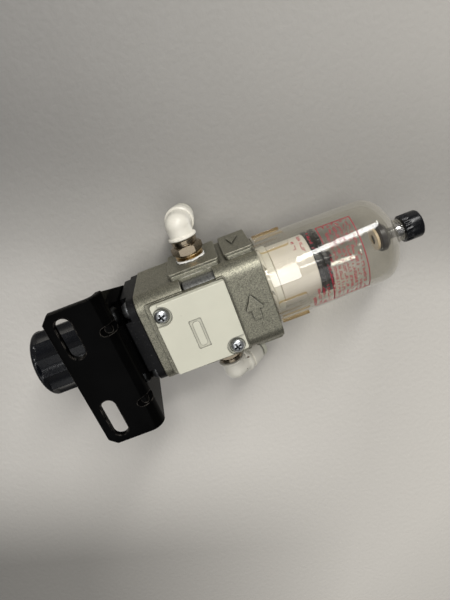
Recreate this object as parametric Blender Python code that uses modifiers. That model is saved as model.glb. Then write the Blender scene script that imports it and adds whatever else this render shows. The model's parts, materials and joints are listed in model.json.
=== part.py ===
"""Air filter regulator with a clear bowl, a wall bracket and two push-in elbows.

The scene is in metres with +Z up: the knob is on top and the bowl hangs below. The origin is on
the bracket's wall face, midway between its two slots, and -Y points at the wall.

Sizes are named in millimetres and scaled by MM as each shape is made. Heights (names ending in
_Z) are measured along the unit's own axis from the axis of its two ports.
"""

import math

import bmesh
import bpy
from mathutils import Matrix, Vector

MM = 0.001
GAP = 0.3          # clearance kept between neighbouring solids
PAST = 4.0         # how far a cutter runs past the face it opens

# Where the unit's axis meets the port axis, from the centre of the bracket's wall face.
UNIT_Y = 30.0
UNIT_Z = -45.0

# Housing
CORE_X = 17.9      # half widths of the cast core
CORE_Y = 18.8
CORE_ROUND = 6.0
HOUSING_TOP_Z = 24.0
HOUSING_BOTTOM_Z = -23.4
PORT_X = 20.0      # half the distance from port face to port face
LAND_Y = 12.2      # half width of the raised port lands
LEDGE = 0.7        # how far the ledge beside a land sits below it
LEDGE_Y = 13.3
LEDGE_INSET = 0.3
LANDS_Z = ((-10.0, 9.7), (-23.0, -12.0))
PORT_R = 5.6
BOWL_SEAT_R = 16.6
BOWL_SEAT_Z = -13.0
VALVE_BORE_R = 8.5
VALVE_SEAT_Z = -9.2
SEAT_HOLE_R = 4.0
CHAMBER_R = 13.6
CHAMBER_Z = 15.2
RIM_R = 15.8
RIM_Z = 22.0
GAUGE_R = 3.5
POCKET_Z = (-6.5, 6.3)
POCKET_X = 14.6
POCKET_Y = 13.9

# Cover plates
COVER_X = 14.3
COVER_Z = (-9.0, 18.8)
COVER_BACK_Y = 19.1
COVER_FRONT_Y = 22.0
COVER_MID_Z = 4.9
COVER_SCREWS = ((9.7, 16.0), (-11.6, -5.2))
COVER_SINK = 1.2   # depth of the two screw corners
SINK_R = 3.8
COVER_PANEL = (11.8, 4.6, 0.4)

# Bonnet and its screws
FLANGE_TOP_Z = 29.7
SCREW_SPREAD = 13.4
SCREW_FLOOR_Z = 27.0
SCREW_POCKET_R = 5.3
NECK_R = 13.9
NECK_TOP_Z = 41.5
DOME_R = 11.3
DOME_TOP_Z = 59.5
CAVITY_R = 9.8
CAVITY_TOP_Z = 56.0

# Bracket
WALL_Y = -30.0
BRACKET_THICK = 2.3
BRACKET_X = 27.6
BRACKET_BEND = 5.0
BRACKET_TOP_Z = 51.1
LEG_Z = 30.0
LEG_END_R = 18.5
LEG_END_Y = 17.8
SLOT_Z = 45.0
SLOT_X = 17.0
SLOT_WIDTH = 5.4
SLOT_LENGTH = 15.4
CORNER_CUT = 3.1
DIMPLE_X = 15.0
DIMPLE_INSET = 1.6
DIMPLE_REACH = 8.0

# Knob and adjusting gear
KNOB_R = 13.4
KNOB_BOTTOM_Z = 43.5
KNOB_TOP_Z = 70.2
KNOB_FLUTES = 12
FLUTE_DEPTH = 0.9
SHAFT_R = 2.8
NUT_Z = (47.0, 50.0)
PLATE_TOP_Z = 22.8

# Bowl
COLLAR_R = 17.6
FLANGE_R = 18.3
LUG_R = 18.1
LUG_WIDTH = 8.0
LUG_COUNT = 8
LUG_Z = (-36.0, -24.9)
BOWL_R = 17.4
BOWL_LOW_R = 16.9
BOWL_WALL = 2.2
DOME_START_Z = -68.0
DOME_END_Z = -78.0
SPOUT_R = 4.5
SPOUT_END_Z = -81.2

# Drain
DRAIN_R = 5.5
DRAIN_Z = (-89.2, -81.5)
DRAIN_STEM_R = 2.2

# Elbows
HEX_X = (21.5, 25.2)
HEX_FLATS = 10.6
SHOULDER_R = 4.9
SHOULDER_X = 27.3
JOURNAL_R = 3.3
JOURNAL_X = 31.0
ELBOW_START_X = 27.6
ELBOW_RIM_R = 5.5
ELBOW_X = 32.6     # distance of each elbow's leg from the unit's axis
ELBOW_R = 4.8
LEG_COLLAR = (5.2, 6.6, 5.7)
SLEEVE_START = 7.6
SLEEVE_R = 5.6
LEG_END = 13.6
BUTTON_START = 14.8
BUTTON_END = 16.9
BUTTON_R = 4.6
TUBE_R = 3.25
SOCKET_R = 4.1
OUTLET_STANDOFF = 0.8            # the outlet fitting isn't screwed in as far
OUTLET_TILT = math.radians(8)    # each leg's turn from +Y down toward -Z
INLET_TILT = math.radians(52)

TURN_Z = (0.0, 0.0, 0.0)
TURN_X = (0.0, math.pi / 2, 0.0)
TURN_Y = (-math.pi / 2, 0.0, 0.0)
TURN_MINUS_X = (0.0, -math.pi / 2, 0.0)
TURN_MINUS_Y = (math.pi / 2, 0.0, 0.0)
PROFILE_YZ = (math.pi / 2, 0.0, math.pi / 2)   # an outline drawn in Y and Z, thick along X

for stale in list(bpy.data.objects):
    bpy.data.objects.remove(stale, do_unlink=True)

PARTS = bpy.data.collections.new("filter_regulator")
CUTTERS = bpy.data.collections.new("cutters")
CUTTERS.hide_render = True
for made in (PARTS, CUTTERS):
    bpy.context.scene.collection.children.link(made)


# Materials ------------------------------------------------------------------------------------

def material(name, colour, roughness, metallic=0.0, alpha=1.0):
    made = bpy.data.materials.new(name)
    made.use_nodes = True
    shader = made.node_tree.nodes["Principled BSDF"]
    shader.inputs["Base Color"].default_value = (*colour, 1.0)
    shader.inputs["Roughness"].default_value = roughness
    shader.inputs["Metallic"].default_value = metallic
    shader.inputs["Alpha"].default_value = alpha
    made.diffuse_color = (*colour, alpha)
    return made


CAST_PAINT = material("cast_paint", (0.30, 0.29, 0.25), 0.42, 0.55)
CREAM = material("cream_plastic", (0.72, 0.69, 0.60), 0.45)
ZINC = material("zinc_steel", (0.72, 0.73, 0.74), 0.22, 1.0)
BLACK = material("black_plastic", (0.018, 0.018, 0.020), 0.45)
BLACK_STEEL = material("black_steel", (0.010, 0.010, 0.010), 0.16)
RUBBER = material("black_rubber", (0.03, 0.03, 0.03), 0.7)
CLEAR = material("clear_bowl", (0.93, 0.92, 0.86), 0.08, 0.0, 0.35)
WHITE = material("white_resin", (0.85, 0.84, 0.80), 0.5)
ELBOW_WHITE = material("elbow_resin", (0.82, 0.79, 0.70), 0.35)
NICKEL = material("nickel_brass", (0.42, 0.36, 0.27), 0.28, 1.0)
BRASS = material("brass", (0.72, 0.55, 0.28), 0.3, 1.0)
SPRING_STEEL = material("spring_steel", (0.55, 0.55, 0.56), 0.3, 1.0)
SEALANT = material("thread_sealant", (0.90, 0.89, 0.86), 0.8)


# Shapes ---------------------------------------------------------------------------------------

def keep(name, mesh, surface=None, parent=None, turn=TURN_Z, at=(0, 0, 0)):
    """Links a mesh as a named part or, with no surface, as a cutter."""
    made = bpy.data.objects.new(name, mesh)
    (PARTS if surface else CUTTERS).objects.link(made)
    if surface:
        mesh.materials.append(surface)
    else:
        made.hide_render = True
        made.display_type = "WIRE"
    made.parent = parent or UNIT
    made.location = Vector(at) * MM
    made.rotation_euler = turn
    return made


def anchor(name, at=(0, 0, 0), turn=TURN_Z, parent=None):
    """An empty that a group of pieces hangs from."""
    made = bpy.data.objects.new(name, None)
    PARTS.objects.link(made)
    made.parent = parent
    made.location = Vector(at) * MM
    made.rotation_euler = turn
    return made


def block(name, low, high, surface=None, parent=None, rounding=0.0, turn=TURN_Z, at=(0, 0, 0)):
    """A box between two corners, with its four upright edges rounded if asked."""
    mesh = bpy.data.meshes.new(name)
    grown = bmesh.new()
    bmesh.ops.create_cube(grown, size=1.0)
    size = Vector(high) - Vector(low)
    middle = (Vector(high) + Vector(low)) / 2
    grown.transform(Matrix.Translation(middle) @ Matrix.Diagonal((*size, 1.0)))
    if rounding:
        upright = [e for e in grown.edges if abs(e.verts[0].co.z - e.verts[1].co.z) > size.z / 2]
        bmesh.ops.bevel(grown, geom=upright, offset=rounding, segments=4, profile=0.5,
                        affect="EDGES")
    bmesh.ops.scale(grown, vec=(MM, MM, MM), verts=grown.verts)
    grown.to_mesh(mesh)
    grown.free()
    return keep(name, mesh, surface, parent, turn, at)


def rod(name, radius, start, end, surface=None, parent=None, turn=TURN_Z, at=(0, 0, 0), sides=24):
    """A plain cylinder along its own Z, turned to the axis it is wanted on."""
    mesh = bpy.data.meshes.new(name)
    grown = bmesh.new()
    bmesh.ops.create_cone(grown, cap_ends=True, segments=sides, radius1=radius * MM,
                          radius2=radius * MM, depth=(end - start) * MM)
    bmesh.ops.translate(grown, vec=(0, 0, (start + end) / 2 * MM), verts=grown.verts)
    grown.to_mesh(mesh)
    grown.free()
    shade(mesh)
    return keep(name, mesh, surface, parent, turn, at)


def shade(mesh):
    mesh.shade_smooth()
    mesh.set_sharp_from_angle(angle=math.radians(35))


def turned(name, profile, surface=None, parent=None, turn=TURN_Z, at=(0, 0, 0), steps=24):
    """A profile of (radius, height) points, spun once about its own Z.

    The points run down the outer side. A profile that starts and ends on the axis is solid, and
    any other is closed into a ring.
    """
    mesh = bpy.data.meshes.new(name)
    points = [(radius * MM, 0.0, height * MM) for radius, height in profile]
    edges = [(i, i + 1) for i in range(len(points) - 1)]
    if profile[0][0] or profile[-1][0]:
        edges.append((len(points) - 1, 0))
    mesh.from_pydata(points, edges, [])
    made = keep(name, mesh, surface, parent, turn, at)
    spin = made.modifiers.new("spin", "SCREW")
    spin.steps = steps
    spin.render_steps = steps
    spin.use_merge_vertices = True
    spin.merge_threshold = 0.00001
    spin.use_smooth_shade = True
    return made


def ring(name, inner, outer, start, end, surface, parent=None, turn=TURN_Z, at=(0, 0, 0), steps=20):
    profile = [(outer, end), (outer, start), (inner, start), (inner, end)]
    return turned(name, profile, surface, parent, turn, at, steps)


def arc(centre, radius, start, end, count):
    """Points on an arc, angles in degrees, both ends included."""
    angles = [math.radians(start + (end - start) * i / (count - 1)) for i in range(count)]
    return [(centre[0] + radius * math.cos(a), centre[1] + radius * math.sin(a)) for a in angles]


def extruded(name, outline, start, end, surface=None, parent=None, turn=TURN_Z, at=(0, 0, 0)):
    """A flat outline in its own XY plane, thickened along its own Z from start to end."""
    curve = bpy.data.curves.new(name, "CURVE")
    curve.dimensions = "2D"
    curve.fill_mode = "BOTH"
    curve.extrude = (end - start) / 2 * MM
    spline = curve.splines.new("POLY")
    spline.points.add(len(outline) - 1)
    for point, (x, y) in zip(spline.points, outline):
        point.co = (x * MM, y * MM, 0.0, 1.0)
    spline.use_cyclic_u = True
    drawn = bpy.data.objects.new(name + "_outline", curve)
    PARTS.objects.link(drawn)
    graph = bpy.context.evaluated_depsgraph_get()
    mesh = bpy.data.meshes.new_from_object(drawn.evaluated_get(graph))
    bpy.data.objects.remove(drawn, do_unlink=True)
    grown = bmesh.new()
    grown.from_mesh(mesh)
    bmesh.ops.remove_doubles(grown, verts=grown.verts, dist=0.000001)
    bmesh.ops.translate(grown, vec=(0, 0, (start + end) / 2 * MM), verts=grown.verts)
    bmesh.ops.recalc_face_normals(grown, faces=grown.faces)
    grown.to_mesh(mesh)
    grown.free()
    mesh.materials.clear()
    return keep(name, mesh, surface, parent, turn, at)


def coil(name, radius, wire, start, end, turns, surface, parent=None):
    """A round-wire spring on the unit's axis, its wire's surface between two heights."""
    per_turn = 10
    count = turns * per_turn + 1
    curve = bpy.data.curves.new(name, "CURVE")
    curve.dimensions = "3D"
    curve.bevel_depth = wire * MM
    curve.bevel_resolution = 2
    curve.use_fill_caps = True
    spline = curve.splines.new("POLY")
    spline.points.add(count - 1)
    rise = (end - start - 2 * wire) / (count - 1)
    for i, point in enumerate(spline.points):
        angle = 2 * math.pi * i / per_turn
        height = start + wire + rise * i
        point.co = (radius * math.cos(angle) * MM, radius * math.sin(angle) * MM, height * MM, 1.0)
    made = bpy.data.objects.new(name, curve)
    PARTS.objects.link(made)
    curve.materials.append(surface)
    made.parent = parent or UNIT
    return made


def combine(target, operation, pieces):
    for piece in pieces:
        step = target.modifiers.new(piece.name, "BOOLEAN")
        step.operation = operation
        step.object = piece


def cut(target, *pieces):
    combine(target, "DIFFERENCE", pieces)


def join(target, *pieces):
    combine(target, "UNION", pieces)


def four_corners(spread):
    return [(spread * i, spread * j) for i, j in ((1, 1), (-1, 1), (-1, -1), (1, -1))]


# Housing and covers ---------------------------------------------------------------------------

UNIT = anchor("unit_axis", (0, UNIT_Y, UNIT_Z))
FRONT = anchor("front_side", parent=UNIT)
REAR = anchor("rear_side", turn=(0, 0, math.pi), parent=UNIT)
SIDES = (("front", FRONT), ("rear", REAR))


def housing():
    body = block("housing", (-CORE_X, -CORE_Y, HOUSING_BOTTOM_Z), (CORE_X, CORE_Y, HOUSING_TOP_Z),
                 CAST_PAINT, rounding=CORE_ROUND)
    for i, (low, high) in enumerate(LANDS_Z):
        join(body, block(f"port_land_{i}", (-PORT_X, -LAND_Y, low), (PORT_X, LAND_Y, high)))
        join(body, block(f"land_ledge_{i}", (LEDGE - PORT_X, -LEDGE_Y, low + LEDGE_INSET),
                         (PORT_X - LEDGE, LEDGE_Y, high - LEDGE_INSET)))
    cut(body, turned("central_bores", [
        (0, HOUSING_TOP_Z + PAST), (RIM_R, HOUSING_TOP_Z + PAST), (RIM_R, RIM_Z),
        (CHAMBER_R, RIM_Z), (CHAMBER_R, CHAMBER_Z), (SEAT_HOLE_R, CHAMBER_Z),
        (SEAT_HOLE_R, VALVE_SEAT_Z), (VALVE_BORE_R, VALVE_SEAT_Z), (VALVE_BORE_R, BOWL_SEAT_Z),
        (BOWL_SEAT_R, BOWL_SEAT_Z), (BOWL_SEAT_R, HOUSING_BOTTOM_Z - PAST),
        (0, HOUSING_BOTTOM_Z - PAST)]))
    cut(body, rod("outlet_bore", PORT_R, 2.0, PORT_X + PAST, turn=TURN_X, sides=16))
    cut(body, rod("inlet_bore", PORT_R, 11.0, PORT_X + PAST, turn=TURN_MINUS_X, sides=16))
    cut(body, rod("inlet_drop", 2.2, BOWL_SEAT_Z - PAST, 0.0, at=(-13.0, 0, 0), sides=8))
    cut(body, rod("gauge_bore", GAUGE_R, -CORE_Y - PAST, CORE_Y + PAST, turn=TURN_Y,
                  at=(0, 0, COVER_MID_Z), sides=12))
    for i, (x, y) in enumerate(four_corners(SCREW_SPREAD)):
        cut(body, rod(f"bonnet_thread_{i}", 1.9, 14.0, HOUSING_TOP_Z + PAST, at=(x, y, 0), sides=10))
    for i, (sx, sy) in enumerate(four_corners(1)):
        corner = sorted((sx * POCKET_X, sx * 30.0)), sorted((sy * POCKET_Y, sy * 30.0))
        low = (corner[0][0], corner[1][0], POCKET_Z[0])
        high = (corner[0][1], corner[1][1], POCKET_Z[1])
        cut(body, block(f"corner_pocket_{i}", low, high))
    for side, parent in SIDES:
        for i, (x, z) in enumerate(COVER_SCREWS):
            cut(body, rod(f"{side}_screw_hole_{i}", 1.3, 13.0, CORE_Y + PAST, parent=parent,
                          turn=TURN_MINUS_Y, at=(x, 0, z), sides=10))
    return body


def cover(side, parent):
    """A cream blanking plate: two diagonal corners are sunk for its screws."""
    toward = TURN_MINUS_Y
    plate = block(f"{side}_cover", (-COVER_X, -COVER_FRONT_Y, COVER_Z[0]),
                  (COVER_X, -COVER_BACK_Y, COVER_Z[1]), CREAM, parent)
    floor = COVER_FRONT_Y - COVER_SINK
    for i, (x, z) in enumerate(COVER_SCREWS):
        out = 1 if x > 0 else -1
        xs = sorted((x - out * SINK_R, x + out * 10))
        zs = sorted((z, z + out * 10))
        cut(plate, rod(f"{side}_sink_{i}", SINK_R, floor, floor + PAST, parent=parent, turn=toward,
                       at=(x, 0, z), sides=16))
        cut(plate, block(f"{side}_sink_corner_{i}", (xs[0], -floor - PAST, zs[0]),
                         (xs[1], -floor, zs[1]), parent=parent))
        cut(plate, rod(f"{side}_cover_hole_{i}", 1.3, 10, 30, parent=parent, turn=toward,
                       at=(x, 0, z), sides=10))
        head = COVER_FRONT_Y - COVER_SINK + GAP
        turned(f"{side}_cover_screw_{i}", [
            (0, head + 1.5), (1.6, head + 1.4), (2.7, head + 0.8), (3.0, head), (1.0, head),
            (1.0, 14.0), (0, 14.0)], ZINC, parent, toward, (x, 0, z), steps=12)
    wide, tall, deep = COVER_PANEL
    cut(plate, block(f"{side}_panel", (-wide / 2 - 1.4, -COVER_FRONT_Y - PAST, 3.4),
                     (wide / 2 - 1.4, -COVER_FRONT_Y + deep, 3.4 + tall), parent=parent))
    cut(plate, rod(f"{side}_seal_seat", 6.8, COVER_BACK_Y - PAST, COVER_BACK_Y + 1.4, parent=parent,
                   turn=toward, at=(0, 0, COVER_MID_Z), sides=16))
    ring(f"{side}_cover_seal", 4.4, 6.5, COVER_BACK_Y, COVER_BACK_Y + 1.1, RUBBER, parent, toward,
         (0, 0, COVER_MID_Z), steps=16)


# Bonnet, ring nut and bracket -----------------------------------------------------------------

def bonnet():
    low = (-CORE_X + 0.5, -CORE_Y + 0.7, HOUSING_TOP_Z + GAP)
    high = (CORE_X - 0.5, CORE_Y - 0.7, FLANGE_TOP_Z)
    shell = block("bonnet", low, high, BLACK, rounding=CORE_ROUND - 0.5)
    join(shell, turned("bonnet_neck", [
        (0, DOME_TOP_Z), (8.6, DOME_TOP_Z), (DOME_R - 0.6, DOME_TOP_Z - 1.2),
        (DOME_R, DOME_TOP_Z - 3.4), (DOME_R, NECK_TOP_Z + 1.2), (NECK_R - 1.0, NECK_TOP_Z),
        (NECK_R, NECK_TOP_Z - 1.0), (NECK_R, HOUSING_TOP_Z + 2.0), (0, HOUSING_TOP_Z + 2.0)]))
    cut(shell, turned("bonnet_cavity", [
        (0, DOME_TOP_Z + PAST), (3.3, DOME_TOP_Z + PAST), (3.3, CAVITY_TOP_Z),
        (CAVITY_R, CAVITY_TOP_Z), (CAVITY_R, 30.0), (12.6, 27.0), (12.6, HOUSING_TOP_Z - PAST),
        (0, HOUSING_TOP_Z - PAST)]))
    for i, (x, y) in enumerate(four_corners(SCREW_SPREAD)):
        cut(shell, rod(f"bonnet_pocket_{i}", SCREW_POCKET_R, SCREW_FLOOR_Z, FLANGE_TOP_Z + PAST,
                       at=(x * 1.09, y * 1.09, 0), sides=16))
        cut(shell, rod(f"bonnet_hole_{i}", 2.1, HOUSING_TOP_Z - PAST, FLANGE_TOP_Z, at=(x, y, 0),
                       sides=10))
        under = SCREW_FLOOR_Z + GAP
        turned(f"bonnet_screw_{i}", [
            (0, under + 2.3), (1.8, under + 2.1), (3.0, under + 1.2), (3.3, under), (1.6, under),
            (1.6, 15.0), (0, 15.0)], ZINC, at=(x, y, 0), steps=12)
    return shell


def ring_nut():
    low, high = LEG_Z + BRACKET_THICK + GAP, LEG_Z + BRACKET_THICK + GAP + 5.8
    nut = turned("ring_nut", [
        (16.4, high), (17.2, high - 0.8), (17.2, low), (NECK_R + GAP, low),
        (NECK_R + GAP, high)], BLACK)
    for i in range(6):
        angle = math.radians(60 * i)
        cut(nut, block(f"nut_notch_{i}", (-1.5, 16.2, low + 1.5), (1.5, 22.0, high + PAST),
                       turn=(0, 0, angle)))


def stadium(width, length):
    """A slot outline with its long way along X."""
    reach = (length - width) / 2
    right = arc((reach, 0), width / 2, -90, 90, 9)
    return right + [(-x, -y) for x, y in right]


def bracket():
    """One bent plate: the wall face and the leg that the ring nut clamps to the bonnet."""
    inner = BRACKET_BEND - BRACKET_THICK
    centre = (WALL_Y + BRACKET_BEND, LEG_Z + BRACKET_BEND)
    bend_out = arc(centre, BRACKET_BEND, 180, 270, 6)
    bend_in = arc(centre, inner, 270, 180, 6)
    profile = [(WALL_Y, BRACKET_TOP_Z), *bend_out, (LEG_END_Y, LEG_Z),
               (LEG_END_Y, LEG_Z + BRACKET_THICK), *bend_in,
               (WALL_Y + BRACKET_THICK, BRACKET_TOP_Z)]
    plate = extruded("bracket", profile, -BRACKET_X, BRACKET_X, BLACK_STEEL, turn=PROFILE_YZ)
    cut(plate, rod("neck_hole", NECK_R + GAP, LEG_Z - PAST, LEG_Z + 10, sides=24))
    for side_x in (-1, 1):
        waist = [(side_x * x, y) for x, y in (
            (BRACKET_X + 6, WALL_Y + BRACKET_BEND), (BRACKET_X - 0.4, WALL_Y + BRACKET_BEND),
            *arc((0, 0), LEG_END_R, 22, 88, 7), (1, LEG_END_R + 6),
            (BRACKET_X + 6, LEG_END_R + 6))]
        cut(plate, extruded(f"leg_trim_{side_x}", waist, LEG_Z - PAST, LEG_Z + PAST))
        cut(plate, extruded(f"slot_{side_x}", stadium(SLOT_WIDTH, SLOT_LENGTH), 20, 40,
                            turn=TURN_MINUS_Y, at=(side_x * SLOT_X, 0, SLOT_Z)))
        cut(plate, block(f"corner_trim_{side_x}", (-6, -8, 0), (6, 8, 8),
                         turn=(0, side_x * math.pi / 4, 0),
                         at=(side_x * (BRACKET_X - CORNER_CUT / 2), WALL_Y + 1,
                             BRACKET_TOP_Z - CORNER_CUT / 2)))
        corner = WALL_Y + DIMPLE_INSET, LEG_Z + DIMPLE_INSET
        web = [corner, (corner[0] + DIMPLE_REACH, corner[1]), (corner[0], corner[1] + DIMPLE_REACH)]
        join(plate, extruded(f"dimple_{side_x}", web, side_x * DIMPLE_X - 1.6,
                             side_x * DIMPLE_X + 1.6, turn=PROFILE_YZ))
    return plate


# Pressure regulator ---------------------------------------------------------------------------

def knob_outline():
    """A fluted circle: each flute is a shallow scoop between two crests."""
    points = []
    per_flute = 4
    for i in range(KNOB_FLUTES * per_flute):
        angle = 2 * math.pi * i / (KNOB_FLUTES * per_flute)
        scoop = (1 - math.cos(KNOB_FLUTES * angle)) / 2
        radius = KNOB_R - FLUTE_DEPTH * scoop
        points.append((radius * math.cos(angle), radius * math.sin(angle)))
    return points


def knob():
    cap = extruded("adjusting_knob", knob_outline(), KNOB_BOTTOM_Z, KNOB_TOP_Z, BLACK)
    cut(cap, turned("knob_edge", [
        (20.0, KNOB_TOP_Z + PAST), (20.0, KNOB_TOP_Z - 1.3), (KNOB_R + 0.1, KNOB_TOP_Z - 1.3),
        (KNOB_R - 1.2, KNOB_TOP_Z + 0.2), (KNOB_R - 1.2, KNOB_TOP_Z + PAST)]))
    cut(cap, turned("knob_hollow", [
        (0, 60.5), (5.0, 60.5), (5.0, 67.0), (11.8, 67.0), (11.8, KNOB_BOTTOM_Z - PAST),
        (0, KNOB_BOTTOM_Z - PAST)]))
    cut(cap, rod("spline_bore", SHAFT_R + GAP, KNOB_BOTTOM_Z, 67.5, sides=12))


def adjusting_gear():
    turned("adjusting_screw", [
        (0, 66.0), (SHAFT_R, 66.0), (SHAFT_R, 55.6), (5.2, 55.6), (5.2, 53.6), (SHAFT_R, 53.6),
        (SHAFT_R, 40.0), (0, 40.0)], ZINC, steps=12)
    ring("spring_nut", SHAFT_R + GAP, 9.4, *NUT_Z, BRASS)
    coil("adjusting_spring", 7.4, 1.0, PLATE_TOP_Z + GAP, NUT_Z[0] - GAP, 6, SPRING_STEEL)
    turned("diaphragm_plate", [
        (0, PLATE_TOP_Z), (8.8, PLATE_TOP_Z), (8.8, 20.9), (1.8, 20.9), (1.8, 17.2),
        (0, 17.2)], ZINC, steps=20)
    turned("diaphragm", [
        (15.4, 23.7), (15.4, 22.3), (12.6, 22.3), (11.2, 19.4), (2.2, 19.4), (2.2, 20.6),
        (10.4, 20.6), (12.2, 23.7)], RUBBER)


def valve():
    turned("valve", [
        (0, 16.9), (1.3, 16.9), (1.3, -9.5), (5.2, -9.5), (5.2, -11.3), (1.9, -11.3),
        (1.9, -18.4), (0, -18.4)], BRASS, steps=12)
    coil("valve_spring", 3.7, 0.45, -16.2, -11.6, 3, SPRING_STEEL)
    guide = turned("valve_guide", [
        (8.2, -13.3), (8.2, -19.0), (2.2, -19.0), (2.2, -16.5), (6.4, -16.5),
        (6.4, -13.3)], WHITE, steps=20)
    for i in range(4):
        cut(guide, rod(f"guide_passage_{i}", 1.1, -22, -14, sides=6,
                       at=(4.4 * math.cos(math.pi / 2 * i), 4.4 * math.sin(math.pi / 2 * i), 0)))


# Filter and bowl ------------------------------------------------------------------------------

def filter_parts():
    louvre = turned("louvre", [
        (10.8, -13.3), (10.8, -16.4), (13.4, -17.4), (13.4, -28.0), (10.2, -28.0),
        (10.2, -20.0), (8.5, -20.0), (8.5, -13.3)], WHITE)
    for i in range(8):
        cut(louvre, block(f"louvre_slit_{i}", (9.0, -1.1, -26.5), (16, 1.1, -20.5),
                          turn=(0.35, 0, math.pi / 4 * i)))
    ring("filter_element", 9.4, 12.4, -43.3, -28.3, WHITE, steps=24)
    baffle = turned("baffle", [
        (0, -39.5), (9.1, -39.5), (9.1, -43.6), (12.8, -43.6), (12.8, -45.2), (9.5, -45.2),
        (9.5, -46.6), (12.8, -46.6), (12.8, -48.2), (3.0, -48.2), (2.0, -52.0),
        (0, -52.0)], BLACK, steps=20)
    for i in range(8):
        cut(baffle, block(f"baffle_notch_{i}", (10.8, -1.4, -52), (16, 1.4, -41),
                          turn=(0, 0, math.pi / 4 * i)))


def bowl_outer():
    """The outer side, from the top of the spigot down to the spout's end."""
    seat = [(16.2, -13.9), (16.2, -17.2), (14.9, -17.2), (14.9, -19.8), (16.2, -19.8)]
    flange = [(16.2, -23.7), (FLANGE_R, -23.7), (FLANGE_R, -24.9), (COLLAR_R, -24.9)]
    wall = [(BOWL_R, -38.0), (BOWL_LOW_R, DOME_START_Z)]
    dome = [(BOWL_LOW_R * math.cos(a), DOME_START_Z + (DOME_END_Z - DOME_START_Z) * math.sin(a))
            for a in (math.radians(15 * i) for i in range(1, 5))]
    spout = [(SPOUT_R + 1.4, DOME_END_Z + 0.1), (SPOUT_R, DOME_END_Z - 0.8), (SPOUT_R, SPOUT_END_Z)]
    return seat + flange + wall + dome + spout


def bowl_inner():
    """The inner side, from the spout's bore back up to the top."""
    low = BOWL_LOW_R - BOWL_WALL
    dome_z = DOME_START_Z + 0.6
    dome = [(low * math.cos(a), dome_z + (DOME_END_Z + BOWL_WALL - dome_z) * math.sin(a))
            for a in (math.radians(15 * i) for i in range(4, 0, -1))]
    spout = [(DRAIN_STEM_R + GAP, SPOUT_END_Z), (DRAIN_STEM_R + GAP, DOME_END_Z + BOWL_WALL)]
    return spout + dome + [(low, dome_z), (BOWL_R - BOWL_WALL, -38.0), (13.9, -24.0), (13.9, -13.9)]


def bowl():
    shell = turned("bowl", bowl_outer() + bowl_inner(), CLEAR, steps=28)
    half = LUG_WIDTH / 2
    for i in range(LUG_COUNT):
        angle = 2 * math.pi * (i + 0.5) / LUG_COUNT
        join(shell, block(f"bowl_lug_{i}", (COLLAR_R - 1.4, -half, LUG_Z[0]),
                          (LUG_R, half, LUG_Z[1] + 0.4), turn=(0, 0, angle)))
    ring("bowl_seal", 15.2, 16.3, -19.5, -17.5, RUBBER, steps=24)


def drain():
    turned("drain_stem", [
        (0, -70.4), (5.0, -70.4), (5.7, -71.0), (5.7, -74.2), (DRAIN_STEM_R, -74.2),
        (DRAIN_STEM_R, -86.5), (0, -86.5)], BRASS, steps=12)
    ring("drain_seal", DRAIN_STEM_R + 0.25, 4.4, -75.1, -74.5, RUBBER, steps=16)
    low, high = DRAIN_Z
    grip = turned("drain_knob", [
        (2.5, high), (DRAIN_R - 0.5, high), (DRAIN_R, high - 0.5), (DRAIN_R, low + 0.8),
        (DRAIN_R - 0.8, low), (1.2, low), (1.2, -87.2), (2.5, -87.2)], BLACK, steps=20)
    for i in range(8):
        cut(grip, rod(f"drain_groove_{i}", 0.5, low - PAST, high - 1.6, sides=4, at=(
            DRAIN_R * math.cos(math.pi / 4 * i), DRAIN_R * math.sin(math.pi / 4 * i), 0)))


# Fittings -------------------------------------------------------------------------------------

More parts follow.
